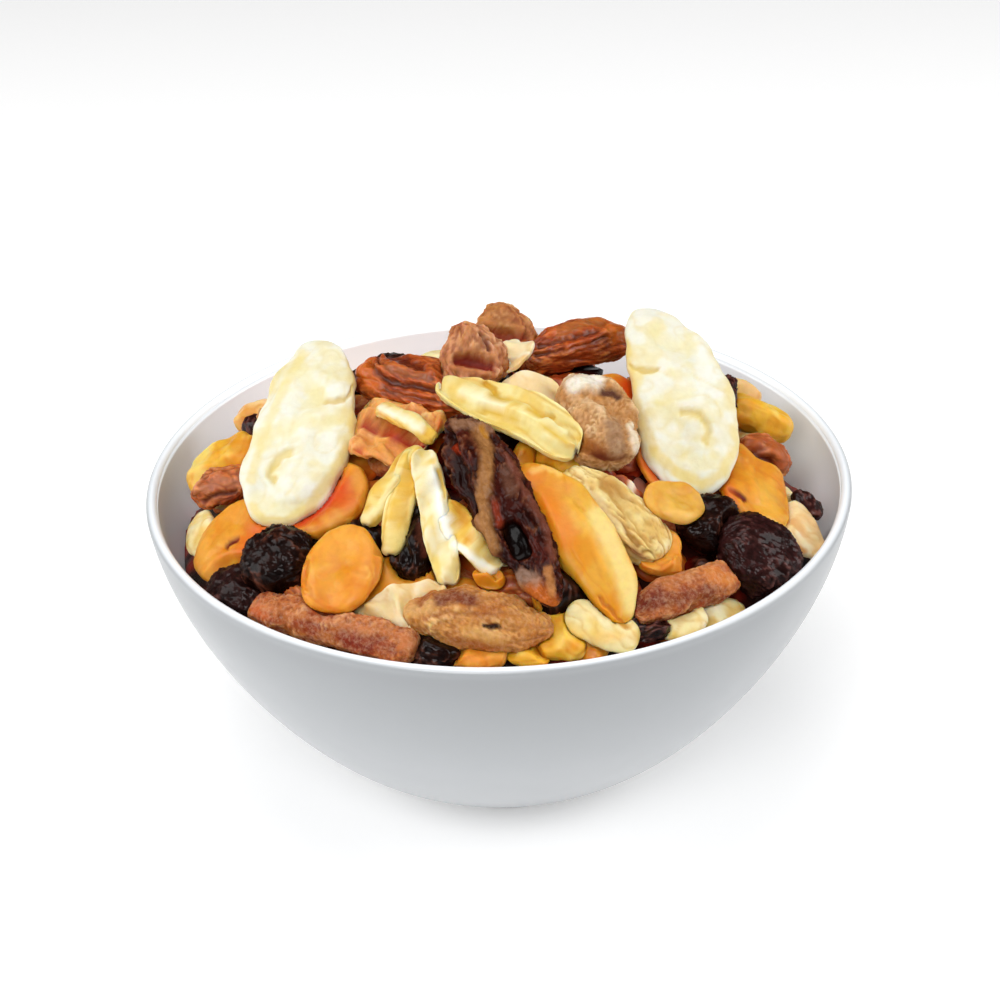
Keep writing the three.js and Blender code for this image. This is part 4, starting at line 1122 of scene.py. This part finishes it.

# %% [markdown]
# Some creases, hollows and patches make a piece the one it is: the mouth of a fig, the slit of
# an apricot, the torn ridge of the long dark prune. Each is a named mark, a line through a few
# points in the photograph's pixels, with half its width and its depth in millimetres (raised
# where negative), its tone, and how strongly it covers. A mark with depth is a real crease or
# ridge: it lands on the upper side of its own piece alone, and lies there from any side. Many
# tones are painted light: painted shade in creases, hollows, slits and some edges, painted
# highlights on ridges and many lights, and a painted red glow on apricots that lie in shade. A
# picture laid over the fruit would show them too, but only from in front, and it would bring
# all its light along.

# %% Marks
# Dark tones of creases, hollows, pits and slits are painted shade besides their depth; raised ridges and
# many lights are painted highlights. Golden strip edges, dark red stick patches and orange date ends are the
# fruit's own colour.
MARKS = {
    "cream_slice_left": [
        ("crease", [(291, 452), (281, 455), (273, 465), (270, 474), (274, 481)], 1.5, 0.9, "#E9CD78", 0.6),
        ("crease", [(325, 402), (335, 401), (345, 398), (352, 392), (356, 384)], 1, 0.8, "#DDBB5C", 0.6),
        ("crease", [(300, 372), (312, 386), (318, 398)], 3, 0.6, "#F3E4AC", 0.4),
        ("crease", [(300, 421), (320, 425), (336, 420)], 2.6, 0.6, "#F3E4AC", 0.4),
        ("crease", [(262, 442), (275, 432), (290, 427)], 3, 0.6, "#F3E4AC", 0.4),
        ("crease", [(256, 498), (275, 510), (298, 508)], 3, 0.6, "#F3E4AC", 0.4),
        # The lower edge is darkened as painted shade; the two edges after it are a darker yellow.
        ("edge", [(252, 507), (264, 520), (286, 523), (310, 507), (330, 478), (345, 450)],
         2, 0.1, "#EFD78C", 0.6),
        ("edge", [(357, 362), (358, 390), (352, 430)], 1.6, 0.1, "#EBCF7E", 0.5),
        ("edge", [(303, 352), (280, 395), (262, 440), (250, 480)], 1.8, 0.1, "#F0DC98", 0.5),
    ],
    "cream_slice_right": [
        ("crease", [(682, 412), (692, 411), (702, 416), (709, 428), (706, 440)], 1.5, 0.9, "#E9CD78", 0.6),
        ("crease", [(631, 366), (645, 370), (657, 369)], 1, 0.8, "#DDBB5C", 0.6),
        ("crease", [(656, 332), (670, 345), (690, 350)], 3, 0.6, "#F3E4AC", 0.4),
        ("crease", [(660, 400), (675, 395), (690, 392)], 2.6, 0.6, "#F3E4AC", 0.4),
        ("crease", [(690, 456), (702, 464), (717, 460)], 3, 0.6, "#F3E4AC", 0.4),
        # The lower edge is darkened as painted shade.
        ("edge", [(655, 452), (680, 474), (703, 485), (722, 474), (735, 450)], 2, 0.1, "#EFD78C", 0.6),
        ("edge", [(626, 345), (631, 385), (641, 418), (653, 446)], 1.8, 0.1, "#EBCF7E", 0.5),
    ],
    "date_left": [
        ("hollow", [(390, 353), (404, 359), (420, 366)], 1.9, 1.5, "#6B2412", 0.85),
        ("crease", [(371, 364), (380, 377), (398, 384), (420, 387), (438, 390)], 1.1, 1.3, "#5A2010", 0.85),
        ("crease", [(379, 351), (378, 361), (392, 371), (412, 377), (432, 380)], 0.8, 0.9, "#6B2C14", 0.7),
        ("crease", [(367, 372), (379, 387), (397, 394), (420, 399), (438, 402)], 0.8, 0.8, "#6B2C14", 0.6),
        ("light", [(364, 356), (363, 368), (372, 384)], 3, -0.3, "#DC7A30", 0.8),
        ("ridge", [(385, 368), (405, 372), (425, 377)], 1.6, -0.6, "#C07A4A", 0.5),
    ],
    "date_right": [
        ("crease", [(540, 347), (560, 340), (580, 335), (598, 330)], 0.9, 1.1, "#6B2C14", 0.8),
        ("crease", [(536, 355), (565, 351), (590, 345), (606, 337)], 1, 1.2, "#5A2010", 0.8),
        ("crease", [(545, 363), (572, 360), (594, 354), (608, 345)], 0.8, 0.9, "#6B2C14", 0.7),
        ("crease", [(588, 323), (604, 325), (614, 335), (611, 350), (596, 361), (570, 366)],
         0.8, 0.7, "#8A4420", 0.6),
        ("light", [(613, 326), (618, 338), (614, 354)], 3, -0.3, "#DC8038", 0.8),
        ("light", [(560, 332), (580, 325), (600, 320)], 2, -0.5, "#C4824E", 0.6),
    ],
    "fig_front": [
        ("hollow", [(459, 359), (476, 362), (493, 366)], 2.1, 2.6, "#8E1E12", 0.95),
        ("ridge", [(458, 352), (475, 350), (492, 357)], 1.2, -0.6, "#C48A62", 0.7),
        ("ridge", [(452, 368), (470, 372), (492, 375)], 1.2, -0.6, "#B87850", 0.7),
        ("ridge", [(470, 330), (462, 345)], 1.2, -0.6, "#C08458", 0.6),
        ("crease", [(482, 332), (488, 348)], 1, 0.9, "#6A2A18", 0.7),
    ],
    "fig_back": [
        ("hollow", [(487, 333), (506, 335), (524, 337)], 1.9, 2.4, "#A03A1A", 0.9),
        ("ridge", [(480, 322), (500, 324), (520, 330)], 1.6, -0.6, "#C88E5C", 0.7),
        ("light", [(492, 308), (504, 312)], 2.4, -0.3, "#C88E5C", 0.6),
    ],
    "folded_slice": [
        ("crease", [(484, 381), (496, 393), (514, 404), (534, 411), (553, 418)], 0.9, 1, "#DDB23E", 0.85),
        ("crease", [(478, 410), (500, 413), (524, 420), (550, 429), (566, 440)], 0.8, 0.8, "#E2BC50", 0.8),
        ("light", [(462, 392), (480, 398), (500, 404)], 2.2, -0.4, "#FDFBE8", 0.6),
        ("ridge", [(520, 408), (545, 420), (565, 432)], 1, -0.6, "#FCF6D0", 0.7),
        ("edge", [(450, 402), (470, 413), (500, 425), (528, 432)], 1.1, 0.1, "#EBCB68", 0.6),
    ],
    "pale_flap": [
        ("tint_and_painted_light", [(515, 382), (535, 386), (550, 392)], 4.5, 0, "#F0CFA0", 0.55),
    ],
    "split_prune": [
        ("torn ridge", [(478, 431), (486, 450), (486, 470), (483, 500), (487, 530), (493, 548)],
         2.6, -1.1, "#B9895E", 0.85),
        # The hollows and the pit are darkened as painted shade besides their depth.
        ("upper hollow", [(446, 438), (451, 460), (460, 486), (470, 512)], 3, 2.6, "#260A06", 0.9),
        ("middle hollow", [(502, 484), (512, 502)], 3.4, 1.6, "#481A16", 0.8),
        ("pit", [(511, 529), (521, 550)], 3.2, 3, "#0C0302", 0.97),
        ("left edge", [(477, 518), (486, 545), (504, 570), (526, 592)], 1.4, -0.9, "#B0805E", 0.85),
        ("right edge", [(505, 455), (518, 480), (532, 505), (546, 532), (553, 560)],
         1.3, -0.9, "#84524A", 0.8),
        ("shoulder", [(455, 425), (470, 424), (490, 430)], 1.8, -0.7, "#A07A66", 0.85),
        ("orange tip", [(535, 588), (547, 600), (553, 608)], 3.6, -0.3, "#CC7438", 0.95),
        ("tip's edge", [(548, 570), (552, 592)], 1.6, -0.4, "#D89A68", 0.7),
        ("amber speck", [(481, 430), (485, 436)], 1.4, -0.3, "#C08838", 0.9),
        ("red speck", [(450, 446), (456, 452)], 1.2, 0, "#A03818", 0.8),
        ("red seam", [(496, 505), (500, 525)], 1.2, -0.6, "#96402C", 0.8),
        ("pale patch", [(505, 470), (512, 490)], 2, -0.3, "#8E6A60", 0.5),
        # A lighter grey-pink patch.
        ("grey pink patch", [(520, 575), (535, 580)], 2.4, -0.4, "#A88A80", 0.75),
    ],
    "mango_slice": [
        ("tint_and_painted_light", [(598, 515), (614, 548), (627, 580), (632, 605)], 4.2, 0, "#F8E2A0", 0.9),
        ("tint_and_painted_light", [(533, 482), (545, 505), (562, 535)], 6, 0, "#EE8E14", 0.7),
        ("crease", [(600, 598), (612, 611), (624, 626)], 0.9, 0.8, "#DE8A22", 0.8),
        ("light", [(534, 471), (547, 467), (559, 474)], 1.3, -0.2, "#F9D48A", 0.7),
        ("light", [(570, 500), (590, 535), (605, 570)], 1, -0.4, "#F6BE58", 0.6),
    ],
    "ridged_slice": [
        ("crease", [(590, 490), (614, 515), (638, 545)], 0.9, 0.9, "#C79450", 0.75),
        ("crease", [(585, 498), (606, 522), (628, 550)], 0.8, 0.8, "#C79450", 0.7),
        ("crease", [(600, 487), (628, 515), (650, 547)], 0.8, 0.7, "#D4A760", 0.65),
        ("tint_and_painted_light", [(630, 556), (645, 572), (655, 580)], 4, 0.4, "#8A4A28", 0.85),
        ("light", [(578, 483), (600, 500), (622, 530)], 1.1, -0.5, "#F8EBC4", 0.6),
    ],
    "sugared_fig": [
        ("ridge", [(573, 386), (584, 381), (596, 382)], 3, -0.6, "#F8EFE2", 0.95),
        ("crease", [(605, 391), (612, 391), (619, 395)], 1.7, 0.9, "#5E3A34", 0.95),
        ("crease", [(583, 447), (598, 455)], 4.5, 0.5, "#B0713A", 0.85),
        ("crease", [(598, 461), (612, 468), (622, 466)], 4, 0.6, "#6A2817", 0.9),
        ("light", [(631, 425), (636, 447), (638, 465)], 1.4, -0.3, "#F4E6D4", 0.85),
        ("tint_and_painted_light", [(614, 425), (618, 448)], 3.6, 0.4, "#A88C7A", 0.7),
        ("tint_and_painted_light", [(572, 425), (579, 440)], 3, 0.2, "#C88A4E", 0.7),
        ("ridge", [(570, 398), (590, 402), (600, 412)], 1.4, -0.6, "#EBCBAA", 0.5),
    ],
    "amber_piece": [
        ("light", [(631, 482), (635, 500)], 1.3, -0.2, "#F8EBDE", 0.9),
        ("tint_and_painted_light", [(612, 482), (620, 497)], 3.5, 0, "#D98E44", 0.8),
        ("edge", [(606, 474), (618, 476)], 2.4, 0.3, "#8A3A1C", 0.8),
    ],
    "crumpled_slice": [
        ("hollow", [(362, 423), (380, 430), (400, 440), (424, 447)], 1.6, 1.4, "#B0240F", 0.95),
        ("tint_and_painted_light", [(365, 402), (385, 399), (400, 402)], 4, 0, "#F0B87C", 0.8),
        ("tint_and_painted_light", [(368, 448), (392, 456)], 5, 0, "#EDA662", 0.8),
        ("ridge", [(360, 440), (368, 460)], 1.2, -0.7, "#F4B672", 0.7),
        ("ridge", [(378, 440), (391, 462)], 1.2, -0.7, "#F4B672", 0.7),
        ("ridge", [(400, 452), (410, 470)], 1.2, -0.6, "#F2A860", 0.7),
        ("crease", [(358, 455), (362, 472)], 3, 0.5, "#CC4E26", 0.85),
    ],
    "white_shred": [
        ("edge", [(379, 413), (392, 426), (412, 436)], 1.1, 0.2, "#E9A75A", 0.6),
        ("light", [(382, 408), (400, 416), (420, 428)], 1.6, -0.3, "#FFFCF2", 0.7),
    ],
    "white_strip": [
        ("light", [(430, 470), (438, 500), (448, 535)], 1.9, -0.5, "#FFFDF6", 0.95),
        ("light", [(456, 545), (478, 562), (494, 572)], 1.9, -0.4, "#FFFCF0", 0.9),
        ("edge", [(455, 500), (463, 515), (468, 540)], 1.6, 0.2, "#E5A63A", 0.85),
        ("edge", [(424, 452), (428, 470)], 1.4, 0, "#F2D468", 0.6),
        ("crease", [(440, 470), (446, 495)], 1.1, 0.5, "#E9BE4C", 0.7),
        ("edge", [(436, 560), (440, 580)], 1.4, 0.1, "#F0D47C", 0.6),
    ],
    "forked_strip": [
        ("edge", [(412, 462), (404, 485), (400, 500)], 1.4, 0.4, "#EDB030", 0.9),
        ("light", [(400, 470), (380, 505), (366, 524)], 1.3, -0.3, "#FBF0C8", 0.6),
        ("light", [(398, 510), (390, 540), (387, 555)], 1.3, -0.3, "#FBEFC4", 0.6),
        ("edge", [(402, 452), (395, 462)], 1, 0.2, "#C99A50", 0.5),
    ],
    "apricot_front": [
        ("edge", [(307, 560), (304, 580), (313, 599), (331, 611), (350, 612), (367, 599), (377, 578),
                  (377, 556)], 0.9, 0.35, "#DE8420", 0.5),
        # The upper left is lightened as a painted highlight.
        ("tint_and_painted_light", [(322, 548), (345, 541), (362, 550)], 5.5, 0, "#F5B34C", 0.6),
        ("edge", [(320, 575), (345, 565), (365, 575)], 1.2, 0.3, "#E8962C", 0.5),
        ("tint_and_painted_light", [(345, 600), (360, 590)], 5, 0, "#F0A030", 0.5),
    ],
    "apricot_left": [
        ("slit", [(227, 547), (232, 543), (237, 540)], 0.9, 0.5, "#7A1C0A", 1),
        ("tint_and_painted_light", [(252, 556), (260, 532)], 6, 0, "#E2622A", 0.65),
        ("tint_and_painted_light", [(201, 535), (204, 562), (208, 575)], 3, 0, "#F4B452", 0.6),
        ("tint_and_painted_light", [(215, 515), (235, 508)], 4, 0, "#F4AE4C", 0.5),
    ],
    "apricot_right": [
        ("slit", [(731, 490), (738, 494), (744, 499)], 1, 0.5, "#74180A", 1),
        ("tint_and_painted_light", [(722, 478), (727, 515)], 4.5, 0, "#E87A26", 0.6),
        ("tint_and_painted_light", [(764, 490), (776, 528)], 4.5, 0, "#F8C05A", 0.7),
        ("light", [(750, 470), (757, 500)], 1.4, -0.4, "#F6B24A", 0.5),
    ],
    "apricot_shaded": [
        # Deep red and red-orange painted shade with a painted glow of light through the apricot, where it
        # lies under the cream slice.
        ("tint_and_painted_light", [(296, 508), (315, 500), (330, 490)], 7, 0, "#D4300F", 0.95),
        ("tint_and_painted_light", [(338, 478), (346, 500)], 4.5, 0, "#E8702A", 0.5),
        ("edge", [(350, 465), (362, 480), (364, 500)], 2.5, 0, "#F2A848", 0.6),
    ],
    "apricot_deep": [
        # Deep red painted shade with a painted glow of light through the apricot, where it lies under
        # others.
        ("tint_and_painted_light", [(650, 432), (662, 455), (680, 476), (700, 487)], 7, 0, "#D63A12", 0.95),
    ],
    "apricot_wedge": [
        ("tint_and_painted_light", [(655, 530), (670, 540)], 5, 0, "#F2AE44", 0.6),
    ],
    "orange_flap": [
        # Painted shade glowing deep red, where the flap lies under the pieces above it.
        ("tint_and_painted_light", [(630, 390), (637, 420), (642, 445)], 6, 0, "#E0501A", 0.85),
    ],
    "date_stick_front": [
        ("tint_and_painted_light", [(345, 638), (368, 645)], 3.5, 0.3, "#8A2618", 0.75),
        ("edge", [(298, 624), (312, 628)], 2.6, 0.2, "#96381E", 0.65),
        ("light", [(404, 640), (413, 646)], 2.6, -0.2, "#DC9468", 0.8),
        ("edge", [(256, 609), (263, 613)], 2.8, 0, "#CC6E3C", 0.8),
        ("light", [(262, 607), (300, 616), (350, 627), (400, 635)], 1.2, -0.4, "#CF8A60", 0.6),
        ("edge", [(380, 640), (392, 650)], 2, 0.3, "#8A2E20", 0.6),
    ],
    "date_stick_right": [
        ("light", [(713, 573), (728, 580)], 3.4, -0.2, "#DE8E4E", 0.85),
        # The underside is darkened as painted shade.
        ("edge", [(650, 604), (680, 598), (708, 590)], 2.6, 0.3, "#762A18", 0.7),
        ("tint_and_painted_light", [(643, 598), (658, 593)], 3.4, 0.3, "#762014", 0.75),
        ("light", [(665, 583), (690, 576)], 1.8, -0.4, "#C88458", 0.6),
    ],
    "brown_spindle": [
        ("crease", [(438, 599), (454, 594), (470, 600)], 2.8, 0.8, "#76280F", 0.85),
        ("crease", [(485, 626), (498, 627)], 0.9, 1, "#260C06", 0.97),
        ("light", [(408, 610), (430, 606)], 2.8, -0.3, "#E0B57E", 0.7),
        ("light", [(468, 632), (500, 640)], 2.6, -0.3, "#DDAE6E", 0.7),
        ("light", [(508, 614), (530, 627)], 2.6, -0.2, "#CE9050", 0.6),
        # The bottom edge is darkened as painted shade.
        ("edge", [(450, 642), (500, 652)], 2.6, 0.2, "#A8602A", 0.7),
        ("edge", [(425, 595), (420, 602)], 1.8, 0.4, "#8A3A18", 0.7),
    ],
    "cream_tail": [
        ("crease", [(370, 615), (395, 608), (420, 600)], 2, 0.5, "#EED78E", 0.7),
    ],
    "cream_leaf": [
        ("crease", [(602, 601), (615, 612), (629, 624)], 1, 0.9, "#D29A3C", 0.9),
        ("edge", [(598, 638), (618, 634)], 2.6, 0, "#F2CC80", 0.6),
    ],
    "raisin_left": [
        ("crease", [(204, 501), (220, 493), (238, 495)], 1.1, 1.1, "#5A1E12", 0.85),
        ("edge", [(208, 511), (226, 509)], 2.6, 0.2, "#6A1E12", 0.75),
        ("light", [(205, 488), (222, 482), (238, 484)], 1.8, -0.3, "#C08062", 0.6),
    ],
    "raisin_right": [
        ("hollow", [(754, 455), (768, 463)], 3.2, 2.2, "#571709", 0.95),
        ("ridge", [(745, 445), (762, 441), (780, 450), (786, 463), (778, 473)], 1.6, -0.7, "#B8683C", 0.85),
    ],
    "prune_shaded": [
        ("hollow", [(398, 535), (408, 560)], 2, 1.6, "#0A0304", 0.9),
        ("ridge", [(418, 525), (424, 555)], 1.2, -0.6, "#6A3A34", 0.6),
    ],
    "pale_slice_right": [
        ("crease", [(795, 520), (805, 535)], 1.4, 0.5, "#E6AE74", 0.6),
        ("edge", [(795, 548), (802, 552)], 1.6, 0, "#E39A3C", 0.8),
        ("light", [(785, 505), (800, 500)], 3, -0.3, "#FAEAC4", 0.5),
    ],
    "yellow_chunk_left": [
        ("tint_and_painted_light", [(196, 465), (205, 445)], 3, 0, "#F8E08C", 0.8),
        ("tint_and_painted_light", [(235, 440), (246, 455)], 4, 0, "#E89F2A", 0.7),
    ],
    "yellow_chunk_right": [
        ("tint_and_painted_light", [(785, 420), (790, 432)], 3, 0, "#F4BC3A", 0.7),
        ("tint_and_painted_light", [(740, 405), (752, 400)], 4, 0, "#EFAE3C", 0.6),
    ],
    "pale_chunk_right": [
        ("tint_and_painted_light", [(735, 380), (745, 385)], 4, 0, "#F2CF9A", 0.7),
    ],
    "golden_wedge": [
        ("edge", [(540, 445), (560, 455)], 2.5, 0, "#E6A03A", 0.5),
    ],
    "yellow_front": [
        ("tint_and_painted_light", [(560, 640), (572, 632)], 3, 0, "#F6D478", 0.7),
    ],
}
print("marks:", sum(len(marks) for marks in MARKS.values()), "on", len(MARKS), "pieces")

# %% [markdown]
# With the rows and the marks the open fruit can be laid, the uppermost piece first, so that
# every later one finds above it what presses it. Rows of one name are joined into one mesh.

# %% Laying the open fruit
SEED_STEP = 0.7
above = []
triangles = {}


def join(skins):
    """Several closed skins as the points, faces and paint of one mesh."""
    points, faces, paint, first = [], [], [], 0
    for skin_points, (rings, around), skin_paint, _ in skins:
        points.append(skin_points)
        paint.append(skin_paint)
        faces.extend(tube_faces(rings, around, first))
        first += len(skin_points)
    return np.concatenate(points), faces, np.concatenate(paint)


for name in dict.fromkeys(row[0] for row in FRUIT):
    skins = []
    for i, (row_name, sort, start, end, width, thick, roll) in enumerate(FRUIT):
        if row_name == name:
            form = {**SORTS[sort], **OWN.get(name, {}), **OWN.get((name, sort), {})}
            seed = 1 + i * SEED_STEP
            marks = MARKS.get(name, ())
            skins.append(make_skin(form, start, end, width, thick, roll, seed, above, FINE, marks))
    slot = skins[0][3]["form"]["slot"]
    points, faces, paint = join(skins)
    piece = add_piece("fine_" + name, points, faces, MATERIALS[slot], paint)
    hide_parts(name)
    above.extend(skin[3] for skin in skins)
    triangles[name] = 2 * len(faces)
print("open fruit:", len(triangles), "triangles about", sum(triangles.values()))

# %% [markdown]
# ## The loose fruit below
#
# In the gaps and on the back of the heap lies more of the same mix. The construction model has
# these pieces fused to a core. Here they are real pieces over a dark core of their own: first
# the ones listed where they show between open pieces, then a seeded scatter that leaves out
# every place that is covered. They could be dropped and left to settle, but then none would
# lie where its solid does. So the draws repeat the construction model's.

# %% The loose rows
TUCKED = [
    ("apricot", (-43, -71), (-19, -79), 22, 9),
    ("apricot", (-30, -42), (-16, -60), 18, 10),
    ("prune", (13, -78), (24, -93), 16, 13),
    ("prune", (-46, -52), (-34, -64), 14, 12),
    ("raisin", (-71, -60), (-55, -72), 12, 12),
    ("orangeChunk", (21, -93), (29, -95), 9, 8),
    ("paleSlice", (55, -80), (71, -66), 12, 8),
    ("darkRaisin", (49, -82), (56, -79), 6, 9),
    ("darkRaisin", (39, -54), (45, -60), 6, 9),
    ("paleSlice", (83, -16), (92, -8), 12, 8),
    ("prune", (2, -27), (10, -41), 16, 13),
    ("apricot", (10, -87), (22, -80), 20, 9),
    ("paleSlice", (-78, 38), (-86, -8), 19, 13),
    ("paleSlice", (75, 44), (85, 6), 19, 13),
    ("spindle", (-31, 16), (-4, 25), 17, 11),
    ("prune", (-6, 18), (9, 25), 16, 12),
    ("prune", (18, 18), (33, 25), 16, 10),
    ("sugaredFig", (-66, -4), (-56, 26), 24, 21),
    ("sugaredFig", (55, -2), (53, 30), 25, 22),
]
UNDER = ["apricot", "date", "prune", "chunk", "creamSlice", "raisin", "apricot", "spindle", "mango",
         "prune"]
UNDER_SIZES = {
    "apricot": (26, 25, 8), "date": (38, 15, 13), "prune": (23, 19, 14), "chunk": (17, 15, 9),
    "raisin": (18, 13, 10), "creamSlice": (46, 26, 8), "spindle": (38, 13, 10), "mango": (42, 18, 8),
}
SCATTER_COUNT = 240
SCATTER_RADIUS = 94
SCATTER_CLEAR = 3.5
SCATTER_ROOM = 15
SCATTER_SEED = 11
SIZE_SPREAD = 0.3
WALL_BAND = 65
WALL_TURN = 0.6
TILT_SPREAD = 12
SEED_TURN = math.pi * (3 - math.sqrt(5))


def draws(seed):
    """Even draws from 0 to 1, the same each time for one seed."""
    state = seed * 7919
    while True:
        state = state * 16807 % 2147483647
        yield state / 2147483647


def is_covered(x, y):
    """Whether a piece laid at a place on the core would meet one that is there already."""
    for start, end, width in places:
        line = np.array(end[:2], float) - start[:2]
        t = np.clip(np.dot((x - start[0], y - start[1]), line) / line.dot(line), 0, 1)
        height = start[2] + (end[2] - start[2]) * t
        off = math.hypot(start[0] + line[0] * t - x, start[1] + line[1] * t - y)
        if off < width / 2 + SCATTER_CLEAR and height - core_height(x, y) < SCATTER_ROOM:
            return True
    return False


def rest_at(point, thick, sunk):
    """An end of a piece that is bedded a little into the core, or sunk deeper."""
    x, y = point
    return (x, y, float(core_height(x, y)) + thick / 2 - BEDDING - sunk)


def rest(sort, start, end, width, thick, tilt, sunk=0):
    """Notes a loose piece, and its place unless it is sunk below the others."""
    ends = (rest_at(start, thick, sunk), rest_at(end, thick, sunk))
    if not sunk:
        places.append((*ends, width))
    loose.append((sort, *ends, width, thick, tilt))


def seed_place(i, count, edge, turned_on=0):
    """Place i of a count spread as evenly as a sunflower's seeds: radius, direction, x and y."""
    radius = edge * math.sqrt((i + 0.5) / count)
    at = i * SEED_TURN + turned_on
    return radius, at, radius * math.cos(at), radius * math.sin(at)


def two_ends(x, y, length, heading):
    """The ends of a piece whose middle and direction are given."""
    dx, dy = length / 2 * math.cos(heading), length / 2 * math.sin(heading)
    return (x - dx, y - dy), (x + dx, y + dy)


loose = []
places = [(start, end, width) for _, _, start, end, width, _, _ in FRUIT]
for row in TUCKED:
    rest(*row, 0)
draw = draws(SCATTER_SEED)
for i in range(SCATTER_COUNT):
    radius, at, x, y = seed_place(i, SCATTER_COUNT, SCATTER_RADIUS)
    if is_covered(x, y):
        continue
    sort = UNDER[len(loose) % len(UNDER)]
    sizes = UNDER_SIZES[sort]
    length, width, thick = (size * (1 + SIZE_SPREAD * (next(draw) - 0.5)) for size in sizes)
    along_wall = at + math.pi / 2 + WALL_TURN * (next(draw) - 0.5)
    heading = along_wall if radius > WALL_BAND else math.pi * next(draw)
    tilt = TILT_SPREAD * (next(draw) - 0.5)
    rest(sort, *two_ends(x, y, length, heading), width, thick, tilt)
print("loose pieces:", len(loose))

# %% [markdown]
# Chinks are left between those. A second lot of smaller pieces, sunk a little into the core and
# turned on from the first, fills them, so that no bare core shows. More of the large ones would
# fill them too, but they would lift the hill.

# %% The deeper layer
DEEP_COUNT = 110
DEEP_SEED = 5
DEEP_SUNK = 3.4
DEEP_EDGE = 90
DEEP_TURN = 1.3
DEEP_SMALLEST = 0.62
DEEP_SPREAD = 0.25
draw = draws(DEEP_SEED)
for i in range(DEEP_COUNT):
    radius, at, x, y = seed_place(i, DEEP_COUNT, DEEP_EDGE, DEEP_TURN)
    sort = UNDER[(3 * i + 1) % len(UNDER)]
    sizes = UNDER_SIZES[sort]
    length, width, thick = (size * (DEEP_SMALLEST + DEEP_SPREAD * next(draw)) for size in sizes)
    heading = at + math.pi / 2 if radius > WALL_BAND else math.pi * next(draw)
    tilt = TILT_SPREAD * (next(draw) - 0.5)
    rest(sort, *two_ends(x, y, length, heading), width, thick, tilt, DEEP_SUNK)
print("with the deeper layer:", len(loose))

# %% [markdown]
# One mesh holds all the loose pieces of a sort. That keeps the list of pieces short, and a
# material of its own goes with each. The open fruit presses them as before. Where two loose
# ones meet they run into each other, which saves a long search and shows only as a seam.

# %% Laying the loose fruit
by_sort = {}
for i, (sort, start, end, width, thick, tilt) in enumerate(loose):
    skin = make_skin(SORTS[sort], start, end, width, thick, tilt, i, above, LOOSE)
    by_sort.setdefault(sort, []).append(skin)
for sort, skins in by_sort.items():
    points, faces, paint = join(skins)
    slot = SORTS[sort]["slot"]
    piece = add_piece("loose_" + slot, points, faces, MATERIALS[slot], paint)
    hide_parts("fruit_heap")
    print("loose", slot, len(skins), "pieces,", 2 * len(faces), "triangles")

# %% [markdown]
# ## The core
#
# Below the loose fruit the mix goes on, out of sight. The core stands in for it, and its upper
# face shows only as depth in the gaps. It is painted as shade: a dark reddish brown, with a
# painted red glow where light has passed through apricot on its way down. More fruit all the
# way to the bottom would take room and time and never be seen. So the core is turned like the
# bowl, with its upper face raised to the hill and crumbled a little.

# %% The core
CORE_SINK = 1.5
CORE_RINGS = 56
CORE_INNERMOST = 2
CORE_BOTTOM = FLOOR_TOP + 2
CORE_WALL_TOP = 66
CORE_WALL_STEP = 6
CORE_OFF_WALL = 1.2
CORE_LIFT = 0.4
CORE_EDGE_HEIGHT = 70
CORE_EDGE_AT = 80
CORE_EDGE_CLEAR = 1
CLOD_SPACING = 7
CLOD_HEIGHT = 1.2
CRUMB_SPACING = 3
CRUMB_HEIGHT = 0.6
# The core's tones are painted shade: dark reddish brown, with a painted red glow.
CORE_SHADE_TONES = ("#3A140D", "#8E2413", "#1C0B08")
core_radii = np.linspace(wall_radius(CORE_EDGE_AT) - CORE_EDGE_CLEAR, CORE_INNERMOST, CORE_RINGS)
along_core = (inside[:, 1] > CORE_BOTTOM) & (inside[:, 1] < CORE_WALL_TOP)
wall_rows = inside[along_core][::CORE_WALL_STEP]
lower = turned_points(wall_rows[:, 0] - CORE_OFF_WALL, wall_rows[:, 1] + CORE_LIFT)
upper = turned_points(core_radii, core_radii * 0)
level = core_height(upper[:, 0], upper[:, 1]) - CORE_SINK
upper[:, 2] = np.maximum(level, CORE_EDGE_HEIGHT)
edge_room = wall_radius(upper[:, 2]) - CORE_EDGE_CLEAR
upper[:, :2] *= np.minimum(1, edge_room / np.hypot(upper[:, 0], upper[:, 1]))[:, None]
clods = CLOD_HEIGHT * noise(upper / CLOD_SPACING, 3)
crumbs = CRUMB_HEIGHT * noise(upper / CRUMB_SPACING, 4)
upper[:, 2] += clods + crumbs
core_points = np.r_[lower, upper, [[0, 0, FLOOR_TOP + 1]], [upper[-BOWL_SIDES:].mean(0)]]
core_points = keep_in_bowl(give_way(core_points, above))
core_shade_paint = np.repeat(colour(CORE_SHADE_TONES[0])[None], len(core_points), 0)
drift = noise(core_points / 8, 5)
core_shade_paint = blend(core_shade_paint, CORE_SHADE_TONES[1], smooth(drift, 0.05, 0.5))
core_shade_paint = blend(core_shade_paint, CORE_SHADE_TONES[2], smooth(-drift, 0.05, 0.5))
core_material = fruit_material("core_painted_shade", (0.4, 0.6), mottle=0.2, grain_depth=0.3)
core_faces = tube_faces(len(wall_rows) + CORE_RINGS, BOWL_SIDES)
core = add_piece("heap_core", core_points, core_faces, core_material, core_shade_paint)
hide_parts("fruit_heap")
print("core top:", core_points[:, 2].max().round(1), "mm")

# %% [markdown]
# ## Closing the lesson
#
# The last cell prints the box of what was made beside the box of the construction model.

# %% The end
made_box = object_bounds()
sizes = {"cad": [list(corner) for corner in cad_box], "visual": [list(corner) for corner in made_box]}
print("boxes:", sizes)
